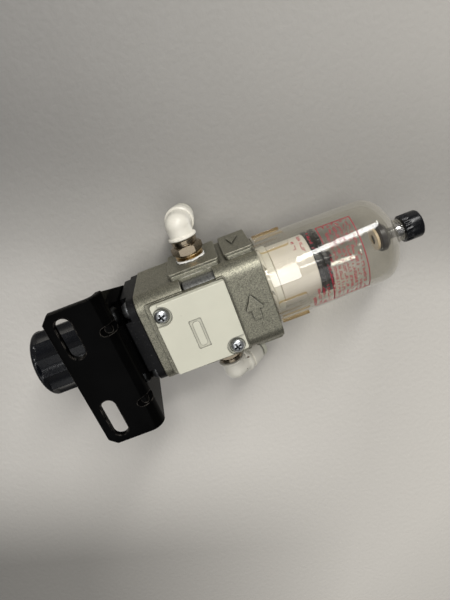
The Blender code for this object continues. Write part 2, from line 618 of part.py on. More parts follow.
def fitting(name, side, standoff, tilt):
    """One threaded stud and push-in elbow. side is +1 at +X and -1 at -X."""
    along = TURN_X if side > 0 else TURN_MINUS_X
    start, end = (x + standoff for x in HEX_X)
    journal = JOURNAL_X + standoff
    stud = rod(f"{name}_stud", HEX_FLATS / math.sqrt(3), start, end, NICKEL, turn=along, sides=6)
    join(stud, rod(f"{name}_thread", PORT_R - GAP, 12.2, start + 1, turn=along, sides=16))
    join(stud, turned(f"{name}_journal", [
        (0, journal), (JOURNAL_R, journal), (JOURNAL_R, SHOULDER_X + standoff),
        (SHOULDER_R, SHOULDER_X + standoff), (SHOULDER_R, end - 1), (0, end - 1)],
        turn=along, steps=16))
    cut(stud, rod(f"{name}_stud_bore", 2.3, 0, 40, turn=along, sides=12))
    ring(f"{name}_thread_seal", PORT_R, 6.5, PORT_X + GAP, start - GAP, SEALANT, turn=along,
         steps=16)

    centre = ELBOW_X + standoff
    leg = anchor(f"{name}_leg", (side * centre, 0, 0), (-math.pi / 2 - tilt, 0, 0), UNIT)
    dome = [(ELBOW_R * math.cos(a), ELBOW_R * math.sin(a))
            for a in (math.radians(-18 * i) for i in range(1, 5))]
    low, high, collar = LEG_COLLAR
    elbow = turned(f"{name}_elbow", [
        (0, LEG_END), (SLEEVE_R - 0.7, LEG_END), (SLEEVE_R, SLEEVE_START + 0.6),
        (SLEEVE_R - 0.2, SLEEVE_START), (ELBOW_R + 0.1, SLEEVE_START), (ELBOW_R + 0.1, high),
        (collar, high), (collar, low), (ELBOW_R, low - 0.4), (ELBOW_R, 0), *dome,
        (0, -ELBOW_R)], ELBOW_WHITE, leg, steps=16)
    inset = ELBOW_X - ELBOW_START_X
    back = TURN_MINUS_X if side > 0 else TURN_X
    join(elbow, turned(f"{name}_elbow_arm", [
        (0, inset), (ELBOW_RIM_R, inset), (ELBOW_RIM_R, inset - 0.8),
        (ELBOW_R - 0.1, inset - 1.3), (ELBOW_R - 0.1, 0), (0, 0)], parent=leg, turn=back, steps=16))
    seat = ELBOW_X - JOURNAL_X - GAP
    cut(elbow, turned(f"{name}_elbow_bore", [
        (0, inset + PAST), (JOURNAL_R + GAP, inset + PAST), (JOURNAL_R + GAP, seat), (2.3, seat),
        (2.3, -1), (0, -1)], parent=leg, turn=back, steps=12))
    cut(elbow, turned(f"{name}_socket_bore", [
        (0, LEG_END + PAST), (SOCKET_R, LEG_END + PAST), (SOCKET_R, 8.0), (TUBE_R, 8.0),
        (TUBE_R, 4.2), (2.2, 4.2), (2.2, -1.0), (0, -1.0)], parent=leg, steps=16))
    ring(f"{name}_tube_seal", TUBE_R + 0.1, 3.8, 8.3, 9.5, RUBBER, leg, steps=16)
    ring(f"{name}_collet", TUBE_R + 0.1, 3.8, 9.9, 11.4, ZINC, leg, steps=16)
    turned(f"{name}_button", [
        (BUTTON_R - 0.5, BUTTON_END), (BUTTON_R, BUTTON_END - 0.5), (BUTTON_R, BUTTON_START),
        (3.8, BUTTON_START), (3.8, 12.9), (TUBE_R + 0.1, 12.9), (TUBE_R + 0.1, BUTTON_END)],
        CREAM, leg, steps=16)


housing()
for side_name, side_anchor in SIDES:
    cover(side_name, side_anchor)
bonnet()
ring_nut()
bracket()
knob()
adjusting_gear()
valve()
filter_parts()
bowl()
drain()
fitting("outlet", 1, OUTLET_STANDOFF, OUTLET_TILT)
fitting("inlet", -1, 0.0, INLET_TILT)
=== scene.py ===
"""The finished look of an air filter regulator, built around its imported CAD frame.

Every shape is drawn in millimetres in the unit's own frame and placed by TO_WORLD: Z runs up the
unit from the axis of its two ports, +X is the outlet side, and -Y is the side of the wall bracket.
"""

import json
import math
import random

import bmesh
import bpy
from mathutils import Matrix, Vector, noise

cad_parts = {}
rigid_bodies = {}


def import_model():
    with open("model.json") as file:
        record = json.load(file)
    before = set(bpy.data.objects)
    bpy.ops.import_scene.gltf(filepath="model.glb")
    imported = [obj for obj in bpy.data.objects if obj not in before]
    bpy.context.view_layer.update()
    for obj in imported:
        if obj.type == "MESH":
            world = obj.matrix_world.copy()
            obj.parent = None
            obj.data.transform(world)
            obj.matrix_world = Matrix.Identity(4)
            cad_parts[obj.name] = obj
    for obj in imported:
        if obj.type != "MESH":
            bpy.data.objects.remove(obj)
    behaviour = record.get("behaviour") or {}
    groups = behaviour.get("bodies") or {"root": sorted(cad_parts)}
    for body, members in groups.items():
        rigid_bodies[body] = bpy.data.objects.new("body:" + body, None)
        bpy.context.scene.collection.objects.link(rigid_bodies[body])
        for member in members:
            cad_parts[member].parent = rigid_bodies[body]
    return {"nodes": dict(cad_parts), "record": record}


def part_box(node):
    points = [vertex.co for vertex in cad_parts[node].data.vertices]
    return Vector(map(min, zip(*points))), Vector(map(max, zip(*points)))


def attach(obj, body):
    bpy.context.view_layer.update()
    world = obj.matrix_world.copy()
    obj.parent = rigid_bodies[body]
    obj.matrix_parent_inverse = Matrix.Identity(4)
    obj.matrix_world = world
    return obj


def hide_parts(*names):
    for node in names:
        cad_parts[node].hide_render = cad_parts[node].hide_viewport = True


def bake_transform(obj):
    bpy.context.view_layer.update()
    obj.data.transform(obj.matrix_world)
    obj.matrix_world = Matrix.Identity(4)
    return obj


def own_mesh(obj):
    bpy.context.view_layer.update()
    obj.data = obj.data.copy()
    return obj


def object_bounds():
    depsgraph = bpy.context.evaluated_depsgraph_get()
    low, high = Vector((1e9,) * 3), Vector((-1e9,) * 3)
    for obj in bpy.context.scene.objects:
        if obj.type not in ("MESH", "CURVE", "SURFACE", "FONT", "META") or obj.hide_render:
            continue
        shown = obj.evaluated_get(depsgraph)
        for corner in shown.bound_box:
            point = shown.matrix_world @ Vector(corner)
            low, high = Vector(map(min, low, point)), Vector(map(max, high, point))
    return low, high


for stale in list(bpy.data.objects):
    bpy.data.objects.remove(stale, do_unlink=True)

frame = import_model()
CAD_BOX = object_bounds()

MM = 0.001
AROUND = 96    # steps round a turned shape
OUTSIDE = 30    # a cutter's reach beyond the housing
HOUSING_TOP = 24.0     # height of the housing's top above the port axis

HOUSING_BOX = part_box("housing")
AXIS = Vector(((HOUSING_BOX[0].x + HOUSING_BOX[1].x) / 2, (HOUSING_BOX[0].y + HOUSING_BOX[1].y) / 2,
               HOUSING_BOX[1].z - HOUSING_TOP * MM))
TO_WORLD = Matrix.Translation(AXIS) @ Matrix.Scale(MM, 4)


def span(node):
    """A CAD node's lowest and highest corners, in the unit's millimetres."""
    low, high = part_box(node)
    return (low - AXIS) / MM, (high - AXIS) / MM


def heights(node):
    return tuple(corner.z for corner in span(node))


def held(value):
    return min(1.0, max(0.0, value))


# Directions: each matrix lays a shape's own Z along the named axis
ALONG_X = {1: Matrix.Rotation(math.pi / 2, 4, "Y"), -1: Matrix.Rotation(-math.pi / 2, 4, "Y")}
FRONT = Matrix.Rotation(math.pi / 2, 4, "X")
REAR = Matrix.Rotation(math.pi, 4, "Z") @ FRONT
UPRIGHT = Matrix.Identity(4)
# Outlines drawn as (y, z) or (y, -z), and pushed out along X
PROFILE_YZ = Matrix(((0, 0, 1, 0), (1, 0, 0, 0), (0, 1, 0, 0), (0, 0, 0, 1)))
PROFILE_YZ_DOWN = Matrix(((0, 0, 1, 0), (1, 0, 0, 0), (0, -1, 0, 0), (0, 0, 0, 1)))
CORNERS = ((1, 1), (-1, 1), (-1, -1), (1, -1))


def at(x, y, z=0.0):
    return Matrix.Translation((x, y, z))


def about_z(angle):
    return Matrix.Rotation(angle, 4, "Z")


# ---- Outlines ----

NEARLY_STRAIGHT = math.radians(165)    # a corner this open stays as it is
LONGEST_ROUND = 0.45    # the share of an edge that a corner's arc may take
SHARPEST_MITRE = 0.3


def arc(x, y, radius, start, end, count):
    """Points on an arc, angles in degrees, both ends included."""
    angles = [math.radians(start + (end - start) * i / (count - 1)) for i in range(count)]
    return [(x + radius * math.cos(a), y + radius * math.sin(a)) for a in angles]


def circle(radius, count, x=0.0, y=0.0):
    return arc(x, y, radius, 0, 360, count + 1)[:-1]


def plate(low_x, high_x, low_y, high_y, radius, count=7):
    """A rectangle with rounded corners."""
    return (arc(high_x - radius, low_y + radius, radius, -90, 0, count)
            + arc(high_x - radius, high_y - radius, radius, 0, 90, count)
            + arc(low_x + radius, high_y - radius, radius, 90, 180, count)
            + arc(low_x + radius, low_y + radius, radius, 180, 270, count))


def stadium(width, length):
    """A slot with round ends."""
    reach = (length - width) / 2
    right = arc(reach, 0, width / 2, -90, 90, 17)
    return right + [(-x, -y) for x, y in right]


def rounded(outline, radius, count):
    """The same outline with a small arc at each corner."""
    made = []
    for i, point in enumerate(outline):
        here = Vector(point)
        back = Vector(outline[i - 1]) - here
        ahead = Vector(outline[(i + 1) % len(outline)]) - here
        opening = back.angle(ahead)
        reach = radius / math.tan(opening / 2)
        longest = LONGEST_ROUND * min(back.length, ahead.length)
        if opening > NEARLY_STRAIGHT or reach > longest:
            made.append(tuple(here))
            continue
        inward = (back.normalized() + ahead.normalized()).normalized()
        centre = here + inward * radius / math.sin(opening / 2)
        first = here + back.normalized() * reach - centre
        last = here + ahead.normalized() * reach - centre
        sweep = first.angle_signed(last)
        for k in range(count):
            spoke = first.copy()
            spoke.rotate(Matrix.Rotation(-sweep * k / (count - 1), 2))
            made.append(tuple(centre + spoke))
    return made


def grown(outline, distance):
    """The outline moved outward by a distance, or inward where it is below zero."""
    moved = []
    for i, point in enumerate(outline):
        here = Vector(point)
        back = (here - Vector(outline[i - 1])).normalized()
        ahead = (Vector(outline[(i + 1) % len(outline)]) - here).normalized()
        out_back = Vector((back.y, -back.x))
        out_ahead = Vector((ahead.y, -ahead.x))
        share = distance / max(SHARPEST_MITRE, 1 + out_back.dot(out_ahead))
        moved.append(here + (out_back + out_ahead) * share)
    return moved


# ---- Solids ----

def linked(name, data):
    made = bpy.data.objects.new(name, data)
    bpy.context.scene.collection.objects.link(made)
    return made


def meshed(shape, name):
    mesh = bpy.data.meshes.new(name)
    shape.to_mesh(mesh)
    shape.free()
    return linked(name, mesh)


def solid(shape, place=UPRIGHT):
    """A bmesh as a working object in the unit's frame."""
    bmesh.ops.recalc_face_normals(shape, faces=shape.faces)
    shape.transform(place)
    return meshed(shape, "shape")


def skin(shape, rings):
    """Closes rings of vertices into a solid, from the first to the last."""
    count = len(rings[0])
    for here, there in zip(rings, rings[1:]):
        for i in range(count):
            j = (i + 1) % count
            shape.faces.new((here[i], here[j], there[j], there[i]))
    shape.faces.new(rings[0][::-1])
    shape.faces.new(rings[-1])


def stack(outline, levels, place=UPRIGHT):
    """A closed solid on one outline, with (height, growth) levels from the bottom up."""
    shape = bmesh.new()
    rings = []
    for height, growth in levels:
        points = grown(outline, growth) if growth else outline
        rings.append([shape.verts.new((x, y, height)) for x, y in points])
    skin(shape, rings)
    return solid(shape, place)


def rim(edge):
    """(depth, growth) steps of a rounded rim, from the flat end to the side."""
    turns = [math.pi / 2 * i / 4 for i in range(5)]
    return [(edge * (1 - math.cos(a)), edge * (math.sin(a) - 1)) for a in turns]


def slab(outline, low, high, edge, place=UPRIGHT, edge_low=None):
    """A plate between two heights, its rims rounded."""
    under = rim(edge if edge_low is None else edge_low)
    levels = [(low + depth, growth) for depth, growth in under]
    levels += [(high - depth, growth) for depth, growth in rim(edge)[::-1]]
    return stack(outline, levels, place)


def lathe(profile, place=UPRIGHT, steps=AROUND, ripple=None):
    """A profile of (radius, height) points down the outer side, spun about its own Z.

    A profile with both ends on the axis is solid, and any other is closed into a ring. ripple may
    return another radius for (radius, height, angle).
    """
    shape = bmesh.new()
    columns = []
    on_axis = {}
    for i in range(steps):
        angle = 2 * math.pi * i / steps
        column = []
        for k, (radius, height) in enumerate(profile):
            if radius == 0:
                if k not in on_axis:
                    on_axis[k] = shape.verts.new((0, 0, height))
                column.append(on_axis[k])
                continue
            reach = ripple(radius, height, angle) if ripple else radius
            x, y = reach * math.cos(angle), reach * math.sin(angle)
            column.append(shape.verts.new((x, y, height)))
        columns.append(column)
    count = len(profile)
    closed = bool(profile[0][0] or profile[-1][0])
    for i in range(steps):
        here, there = columns[i], columns[(i + 1) % steps]
        for k in range(count if closed else count - 1):
            after = (k + 1) % count
            corners = [here[k], there[k], there[after], here[after]]
            distinct = [v for n, v in enumerate(corners) if v not in corners[:n]]
            if len(distinct) > 2:
                shape.faces.new(distinct)
    return solid(shape, place)


def bake(target):
    """Applies a working object's modifiers."""
    graph = bpy.context.evaluated_depsgraph_get()
    mesh = bpy.data.meshes.new_from_object(target.evaluated_get(graph))
    target.modifiers.clear()
    target.data = mesh


def combine(target, operation, others):
    """A Boolean of the target with each of the others, which are used up."""
    for other in others:
        step = target.modifiers.new("step", "BOOLEAN")
        step.operation = operation
        step.object = other
    bake(target)
    for other in others:
        bpy.data.objects.remove(other, do_unlink=True)
    return target


def cut(target, *others):
    return combine(target, "DIFFERENCE", others)


def join(target, *others):
    return combine(target, "UNION", others)


def dress(mesh, finish, crease=35.0):
    """One finish all over, shaded smooth except at edges sharper than the crease in degrees."""
    mesh.materials.clear()
    mesh.materials.append(finish.material)
    mesh.shade_smooth()
    mesh.set_sharp_from_angle(angle=math.radians(crease))


def piece(made, name, finish, body, slot, *nodes, crease=32.0):
    """Finishes a working object as a shown piece of a body, standing for the named CAD nodes."""
    made.name = name
    made.data.name = name
    made.data.transform(TO_WORLD)
    dress(made.data, finish, crease)
    weigh = made.modifiers.new("flat faces", "WEIGHTED_NORMAL")
    weigh.keep_sharp = True
    bake(made)
    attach(made, body)
    if nodes:
        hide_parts(*nodes)


# ---- Materials ----

MIX_A, MIX_B, MIXED = 6, 7, 2    # the colour sockets of a Mix node
BLOTCH_RANGE = (0.32, 0.68)    # where a blotch noise is darkest and lightest
GRAIN_RANGE = (0.3, 0.7)
SPECK_EDGE = 0.05
# the grain of patchy lighter edges, worn paint and painted highlight alike
EDGE_LIGHTENING_GRAIN = 420.0
AO_SAMPLES, BEVEL_SAMPLES = 8, 4


class Finish:
    """One procedural material, in object coordinates, which are metres here.

    The colour varies by spread in blotches. The roughness varies by rough_spread, and the surface
    by relief, in a finer grain. Edges catch the light at a radius of round_edges millimetres.
    """

    def __init__(self, name, colour, roughness, metallic=0.0, spread=0.10, blotch=90.0,
                 grain=1500.0, relief=0.10, depth=0.0001, rough_spread=0.08, round_edges=0.0):
        self.material = bpy.data.materials.new(name)
        self.material.use_nodes = True
        self.tree = self.material.node_tree
        self.shader = self.tree.nodes["Principled BSDF"]
        self.output = self.tree.nodes["Material Output"]
        self.coordinates = self.node("TexCoord", {}, "Object")
        self.shader.inputs["Metallic"].default_value = metallic
        dark = [c * (1 - spread) for c in colour]
        light = [c * (1 + spread) for c in colour]
        self.tint = self.mix(self.steps(self.noise(blotch, 4.0), *BLOTCH_RANGE), dark, light)
        fine = self.noise(grain, 3.0)
        self.level = self.steps(fine, *GRAIN_RANGE, roughness - rough_spread,
                                roughness + rough_spread)
        bump = {"Strength": relief, "Distance": depth, "Height": fine}
        if round_edges:
            bump["Normal"] = self.rolled(round_edges)
        self.normal = self.node("Bump", bump)
        self.join(self.normal, self.shader.inputs["Normal"])
        self.paint()

    def join(self, source, target):
        self.tree.links.new(source, target)

    def node(self, kind, inputs, output=0, **settings):
        """The output of a new shader node, whose inputs are links or plain values."""
        made = self.tree.nodes.new("ShaderNode" + kind)
        for key, value in settings.items():
            setattr(made, key, value)
        for key, value in inputs.items():
            socket = made.inputs[key]
            if isinstance(value, bpy.types.NodeSocket):
                self.join(value, socket)
            else:
                socket.default_value = (*value, 1.0) if socket.type == "RGBA" else value
        return made.outputs[output]

    def rolled(self, radius):
        """The normal of a surface whose edges are rounded to a radius in millimetres."""
        return self.node("Bevel", {"Radius": radius * MM}, samples=BEVEL_SAMPLES)

    def noise(self, scale, detail):
        inputs = {"Vector": self.coordinates, "Scale": scale, "Detail": detail}
        return self.node("TexNoise", inputs, "Fac")

    def dot(self, first, second):
        return self.node("VectorMath", {0: first, 1: second}, "Value", operation="DOT_PRODUCT")

    def steps(self, value, low, high, to_low=0.0, to_high=1.0):
        """A value between low and high, mapped to another range and held at its ends."""
        inputs = {"Value": value, "From Min": low, "From Max": high, "To Min": to_low,
                  "To Max": to_high}
        return self.node("MapRange", inputs, "Result")

    def maths(self, operation, first, second):
        return self.node("Math", {0: first, 1: second}, operation=operation)

    def grey(self, value):
        return self.node("CombineColor", {0: value, 1: value, 2: value})

    def ramp(self, value, *stops):
        """A grey from (place, level) stops."""
        node = self.tree.nodes.new("ShaderNodeValToRGB")
        node.color_ramp.interpolation = "B_SPLINE"
        elements = node.color_ramp.elements
        while len(elements) < len(stops):
            elements.new(0.5)
        for element, (place, level) in zip(elements, stops):
            element.position = place
            element.color = (level, level, level, 1.0)
        self.join(value, node.inputs[0])
        return node.outputs[0]

    def mix(self, share, first, second, blend="MIX"):
        """Two colours, the second by a share."""
        return self.node("Mix", {0: share, MIX_A: first, MIX_B: second}, MIXED,
                         data_type="RGBA", blend_type=blend)

    def layer(self, share, first, second):
        """Two shaders, the second by a share."""
        return self.node("MixShader", {0: share, 1: first, 2: second})

    def paint(self):
        self.join(self.tint, self.shader.inputs["Base Color"])
        self.join(self.level, self.shader.inputs["Roughness"])
        return self

    def overlay(self, share, colour):
        """Another colour over the tint so far."""
        self.tint = self.mix(share, self.tint, colour)
        return self.paint()

    def multiply(self, colour):
        """The tint so far, times another colour."""
        self.tint = self.mix(1.0, self.tint, colour, "MULTIPLY")
        return self.paint()

    def specks(self, colour, scale, threshold):
        """Small marks of another colour, where a noise rises over a threshold."""
        found = self.steps(self.noise(scale, 2.0), threshold, threshold + SPECK_EDGE)
        return self.overlay(found, colour)

    def flakes(self, scale, low, high):
        """A brightness of its own for each tiny cell, as in a metallic paint."""
        inputs = {"Vector": self.coordinates, "Scale": scale}
        cells = self.node("TexVoronoi", inputs, "Color")
        level = self.node("SeparateColor", {0: cells})
        return self.multiply(self.grey(self.steps(level, 0.0, 1.0, low, high)))

    def edge_wear_and_highlight(self, colour, radius, amount):
        """Lighter edges, as rubbed paint and as a painted highlight: where a rounded normal leaves
        the true one, the colour lightens.
        """
        true = self.node("NewGeometry", {}, "Normal")
        edge = self.steps(self.dot(self.rolled(radius), true), 0.99, 0.90, 0.0, amount)
        patchy = self.steps(self.noise(EDGE_LIGHTENING_GRAIN, 3.0), 0.40, 0.60)
        return self.overlay(self.maths("MULTIPLY", edge, patchy), colour)

    def painted_shade(self, reach, floor):
        """Painted shade in corners, crevices and near other surfaces, by ambient occlusion, down to
        a share of the colour.
        """
        inputs = {"Distance": reach * MM}
        near = self.node("AmbientOcclusion", inputs, "AO", samples=AO_SAMPLES)
        return self.multiply(self.grey(self.steps(near, 0.35, 0.95, floor, 1.0)))

    def sockets(self, **values):
        """Uniform values, set on the shader's own sockets."""
        for key, value in values.items():
            self.shader.inputs[key.replace("_", " ")].default_value = value
        return self


WALL_TINT = (0.968, 0.962, 0.938)    # what one wall of clear resin lets through
SLANT_RANGE = (0.02, 0.35)
GLOSS_ROUGH, GLOSS_POWER = 0.05, 5.0
GLOSS_FACE_ON, GLOSS_GRAZING = 0.035, 0.9


def clear_plastic(name, tone, face_on, grazing, shine, tint=WALL_TINT):
    """Clear resin, faintly yellow: seen through face on, glossy and denser at a grazing angle.

    face_on and grazing are the shares of the resin's own tone at the two angles.
    """
    made = Finish(name, tone, 0.10, spread=0.06, relief=0.02, grain=500.0, rough_spread=0.04)
    facing = made.node("LayerWeight", {"Blend": 0.5}, "Facing")
    square = made.maths("MULTIPLY", facing, facing)
    slanted = [c * (0.90 + 0.08 * c) for c in tint]
    seen = made.mix(made.steps(square, *SLANT_RANGE), tint, slanted)
    through = made.node("BsdfTransparent", {"Color": seen})
    mirror = {"Color": (1.0, 1.0, 1.0), "Roughness": GLOSS_ROUGH, "Normal": made.normal}
    gloss = made.node("BsdfGlossy", mirror)
    dense = made.steps(square, 0.0, 1.0, face_on, grazing)
    body = made.layer(dense, through, made.shader.outputs[0])
    share = made.steps(made.maths("POWER", facing, GLOSS_POWER), 0.0, 1.0, GLOSS_FACE_ON * shine,
                       GLOSS_GRAZING * shine)
    made.join(made.layer(share, body, gloss), made.output.inputs["Surface"])
    return made


CAST = Finish("cast_paint", (0.255, 0.246, 0.192), 0.46, 0.85, spread=0.05, relief=0.28,
              grain=2600.0, round_edges=0.25)
# Metallic flakes; lighter edges, as worn paint and a painted highlight; painted shade in the
# corners.
CAST.flakes(5200.0, 0.46, 1.55).edge_wear_and_highlight((0.74, 0.72, 0.62), 0.40, 0.8).painted_shade(1.2, 0.25)
CAST_BARE = Finish("cast_bare", (0.24, 0.24, 0.23), 0.30, 0.8, relief=0.12, round_edges=0.2)
# Painted shade in the corners of the pocket's pad.
CAST_BARE.painted_shade(1.5, 0.2)
CREAM = Finish("cover_resin", (0.68, 0.665, 0.545), 0.42, spread=0.03, relief=0.08, grain=2200.0,
               round_edges=0.18).specks((0.46, 0.44, 0.36), 240.0, 0.73)
# Painted highlight on the edges, and painted shade in the corners and sunk steps.
CREAM.edge_wear_and_highlight((0.80, 0.78, 0.67), 0.3, 0.7).painted_shade(1.4, 0.2)
# Painted shade round the screw heads and in their recesses.
ZINC = Finish("screw_zinc", (0.70, 0.72, 0.73), 0.33, 1.0, spread=0.15, relief=0.15, grain=1200.0,
              round_edges=0.1).painted_shade(0.8, 0.4)
BLACK = Finish("bonnet_resin", (0.0045, 0.0045, 0.005), 0.50, spread=0.3, relief=0.8, grain=1900.0,
               round_edges=0.3).specks((0.035, 0.035, 0.033), 1700.0, 0.66)
BLACK.sockets(Specular_IOR_Level=0.16)
KNOB = Finish("knob_resin", (0.003, 0.0035, 0.005), 0.28, spread=0.3, round_edges=0.12)
KNOB.sockets(Specular_IOR_Level=0.38)
STEEL = Finish("bracket_enamel", (0.0015, 0.0015, 0.0015), 0.12, spread=0.3, relief=0.05,
               grain=700.0, rough_spread=0.05, round_edges=0.25)
# Painted highlight on the bracket's edges, in grey.
STEEL.edge_wear_and_highlight((0.10, 0.09, 0.078), 0.45, 0.85).sockets(Specular_IOR_Level=0.02)
CLEAR_TONE = (0.62, 0.585, 0.50)
CLEAR = clear_plastic("clear_outside", CLEAR_TONE, 0.025, 0.75, 1.0)
CLEAR_INSIDE = clear_plastic("clear_inside", CLEAR_TONE, 0.01, 0.12, 0.35)
CLEAR_EDGE = clear_plastic("clear_edges", (0.30, 0.15, 0.04), 0.16, 0.55, 1.0, (0.92, 0.80, 0.55))
RESIN = Finish("element_resin", (0.82, 0.77, 0.70), 0.62, spread=0.06, relief=0.8, grain=1600.0)
LOUVRE = Finish("louvre_resin", (0.80, 0.77, 0.68), 0.45, spread=0.04, relief=0.05)
ELBOW = Finish("elbow_resin", (0.81, 0.775, 0.68), 0.36, spread=0.05, round_edges=0.3)
ELBOW.specks((0.16, 0.12, 0.08), 520.0, 0.70)
NICKEL = Finish("nickel_plate", (0.27, 0.225, 0.165), 0.22, 1.0, spread=0.15, relief=0.03,
                grain=3000.0, round_edges=0.15)
BRASS = Finish("brass", (0.50, 0.37, 0.20), 0.24, 1.0, spread=0.2, relief=0.04, grain=3000.0)
TAPE = Finish("thread_tape", (0.84, 0.83, 0.79), 0.75, spread=0.06, relief=0.9, grain=900.0)
RUBBER = Finish("rubber", (0.022, 0.022, 0.023), 0.62, spread=0.2, relief=0.2)
SPRING = Finish("spring_steel", (0.50, 0.50, 0.52), 0.28, 1.0, spread=0.12, relief=0.05)
PRINT = Finish("red_print", (0.36, 0.015, 0.035), 0.5, spread=0.25, blotch=700.0, relief=0.05)
HEAD = Finish("drain_head", (0.016, 0.014, 0.018), 0.34, spread=0.3, relief=0.2)
BEIGE = Finish("drain_washer", (0.62, 0.50, 0.34), 0.5, spread=0.15, relief=0.3)


# ---- Housing and covers ----

CORE_X, CORE_Y, CORE_ROUND = 17.9, 18.8, 6.0    # half sizes and corner radius
PORT_X = span("housing")[1].x
HOUSING_BOTTOM = heights("housing")[0]
HOUSING_BORE = [    # the diaphragm's seat, the valve's passage and the bowl's socket
    (0, 28), (15.8, 28), (15.8, 22), (13.6, 22), (13.6, 15.2), (4.0, 15.2), (4.0, -9.2), (8.5, -9.2),
    (8.5, -13.0), (16.6, -13.0), (16.6, -28), (0, -28)]
LANDS_Z = ((-10.0, 9.7), (-23.0, -12.0))
LAND_Y, LEDGE_Y, LEDGE = 12.2, 13.3, 0.7    # half widths of a port land's two steps
PORT_R, PORT_MOUTH = 5.6, 4.3
PORT_ENDS = {1: 2.0, -1: 11.0}    # how near the axis each port reaches
POCKET_X, POCKET_Y, POCKET_Z = 14.35, 13.6, (-6.5, 6.3)
PAD_X, PAD_Y, PAD_R, PAD_WALL = 11.9, 12.8, 4.6, 1.2
COVER_X = span("front_cover")[1].x
COVER_Z = heights("front_cover")
COVER_FACE = -span("front_cover")[0].y
SEAT_Y = 19.2
SINK_R, SINK_DEPTH = 3.8, 1.2    # a cover's sunk corner
COUNTERBORE_R, COVER_SCREW_R = 3.05, 2.65
PANEL = plate(-7.3, 4.5, 3.4, 8.0, 0.35, 4)
PILL = plate(-6.3, 3.5, 4.4, 7.0, 1.1, 7)
ARROW = ((4.6, -15.8), (-1.3, -12.5), (-1.4, -14.5), (-5.4, -14.5), (-5.4, -17.4), (-1.4, -17.5),
         (-1.3, -19.3))
MARK = ((5.9, -15.1), (-3.1, -16.5), (5.2, -19.5))
RECESS_TURNS = (20, 110)
SCREW_DOME = ((0.35, 0.02), (0.62, 0.12), (0.82, 0.32), (0.95, 0.62), (1.0, 0.85))


def corner_block(sx, sy, inset, low, high, radius, edge):
    """A block over one corner of the housing, from inside its pocket outward."""
    xs = sorted((sx * (POCKET_X - inset), sx * OUTSIDE))
    ys = sorted((sy * (POCKET_Y - inset), sy * OUTSIDE))
    return slab(plate(*xs, *ys, radius, 3), low, high, edge)


def housing():
    """The casting: port lands, cover seats, arrow and mark, bores and a pocket at each corner."""
    body = slab(plate(-CORE_X, CORE_X, -CORE_Y, CORE_Y, CORE_ROUND, 17), HOUSING_BOTTOM,
                HOUSING_TOP, 0.4)
    for low, high in LANDS_Z:
        join(body, slab(plate(-LAND_Y, LAND_Y, low, high, 0.9), -PORT_X, PORT_X, 0.3, PROFILE_YZ),
             slab(plate(-LEDGE_Y, LEDGE_Y, low + 0.3, high - 0.3, 1.1), LEDGE - PORT_X,
                  PORT_X - LEDGE, 0.25, PROFILE_YZ))
    seat = plate(-COVER_X - 0.6, COVER_X + 0.6, COVER_Z[0] - 0.6, COVER_Z[1] + 1.9, 0.9)
    for side in (FRONT, REAR):
        join(body, slab(seat, CORE_Y - 2, SEAT_Y, 0.12, side))
    join(body, slab(rounded(ARROW[::-1], 0.2, 3), CORE_Y - 1, CORE_Y + 0.7, 0.12, FRONT),
         slab(rounded(MARK[::-1], 0.2, 3), PORT_X - 1, PORT_X + 0.5, 0.12, PROFILE_YZ))
    cut(body, lathe(HOUSING_BORE))
    for side, inner in PORT_ENDS.items():
        cut(body, lathe([(0, 24), (PORT_R + PORT_MOUTH, 24), (PORT_R + 0.3, PORT_X),
                         (PORT_R, PORT_X - 0.4), (PORT_R, inner), (0, inner)], ALONG_X[side]))
    for sx, sy in CORNERS:
        cut(body, corner_block(sx, sy, 0, *POCKET_Z, 0.3, 0.25))
    piece(body, "housing_casting", CAST, "housing", "cast_paint", "housing")
    for i, (sx, sy) in enumerate(CORNERS):
        pad = slab(circle(PAD_R, 72, sx * PAD_X, sy * PAD_Y), POCKET_Z[0] - 0.5, POCKET_Z[1] - 0.25,
                   0.8, edge_low=0.1)
        kept = corner_block(sx, sy, PAD_WALL, POCKET_Z[0] - 1, POCKET_Z[1] + 1, 0.1, 0.05)
        combine(pad, "INTERSECT", [kept])
        piece(pad, f"corner_pad_{i}", CAST_BARE, "housing", "cast_paint")


def cross_recess(top, depth, place):
    """The cutter of a cross-head screw's recess."""
    bar = plate(-1.6, 1.6, -0.4, 0.4, 0.15, 3)
    levels = [(top - depth, -0.25), (top - 0.4, -0.05), (top + 1.0, 0.10)]
    return join(*(stack(bar, levels, place @ about_z(math.radians(turn))) for turn in RECESS_TURNS))


def screw(name, radius, bottom, top, shank, place):
    """A pan-head screw with a cross recess."""
    rise = top - bottom
    head = [(radius * reach, top - rise * drop) for reach, drop in SCREW_DOME]
    made = lathe([(0, top), *head, (radius, bottom), (shank, bottom), (shank, bottom - 6),
                  (0, bottom - 6)], place, 64)
    cut(made, cross_recess(top, rise * 0.8, place))
    piece(made, name + "_turned", ZINC, "housing", "zinc_steel", name)


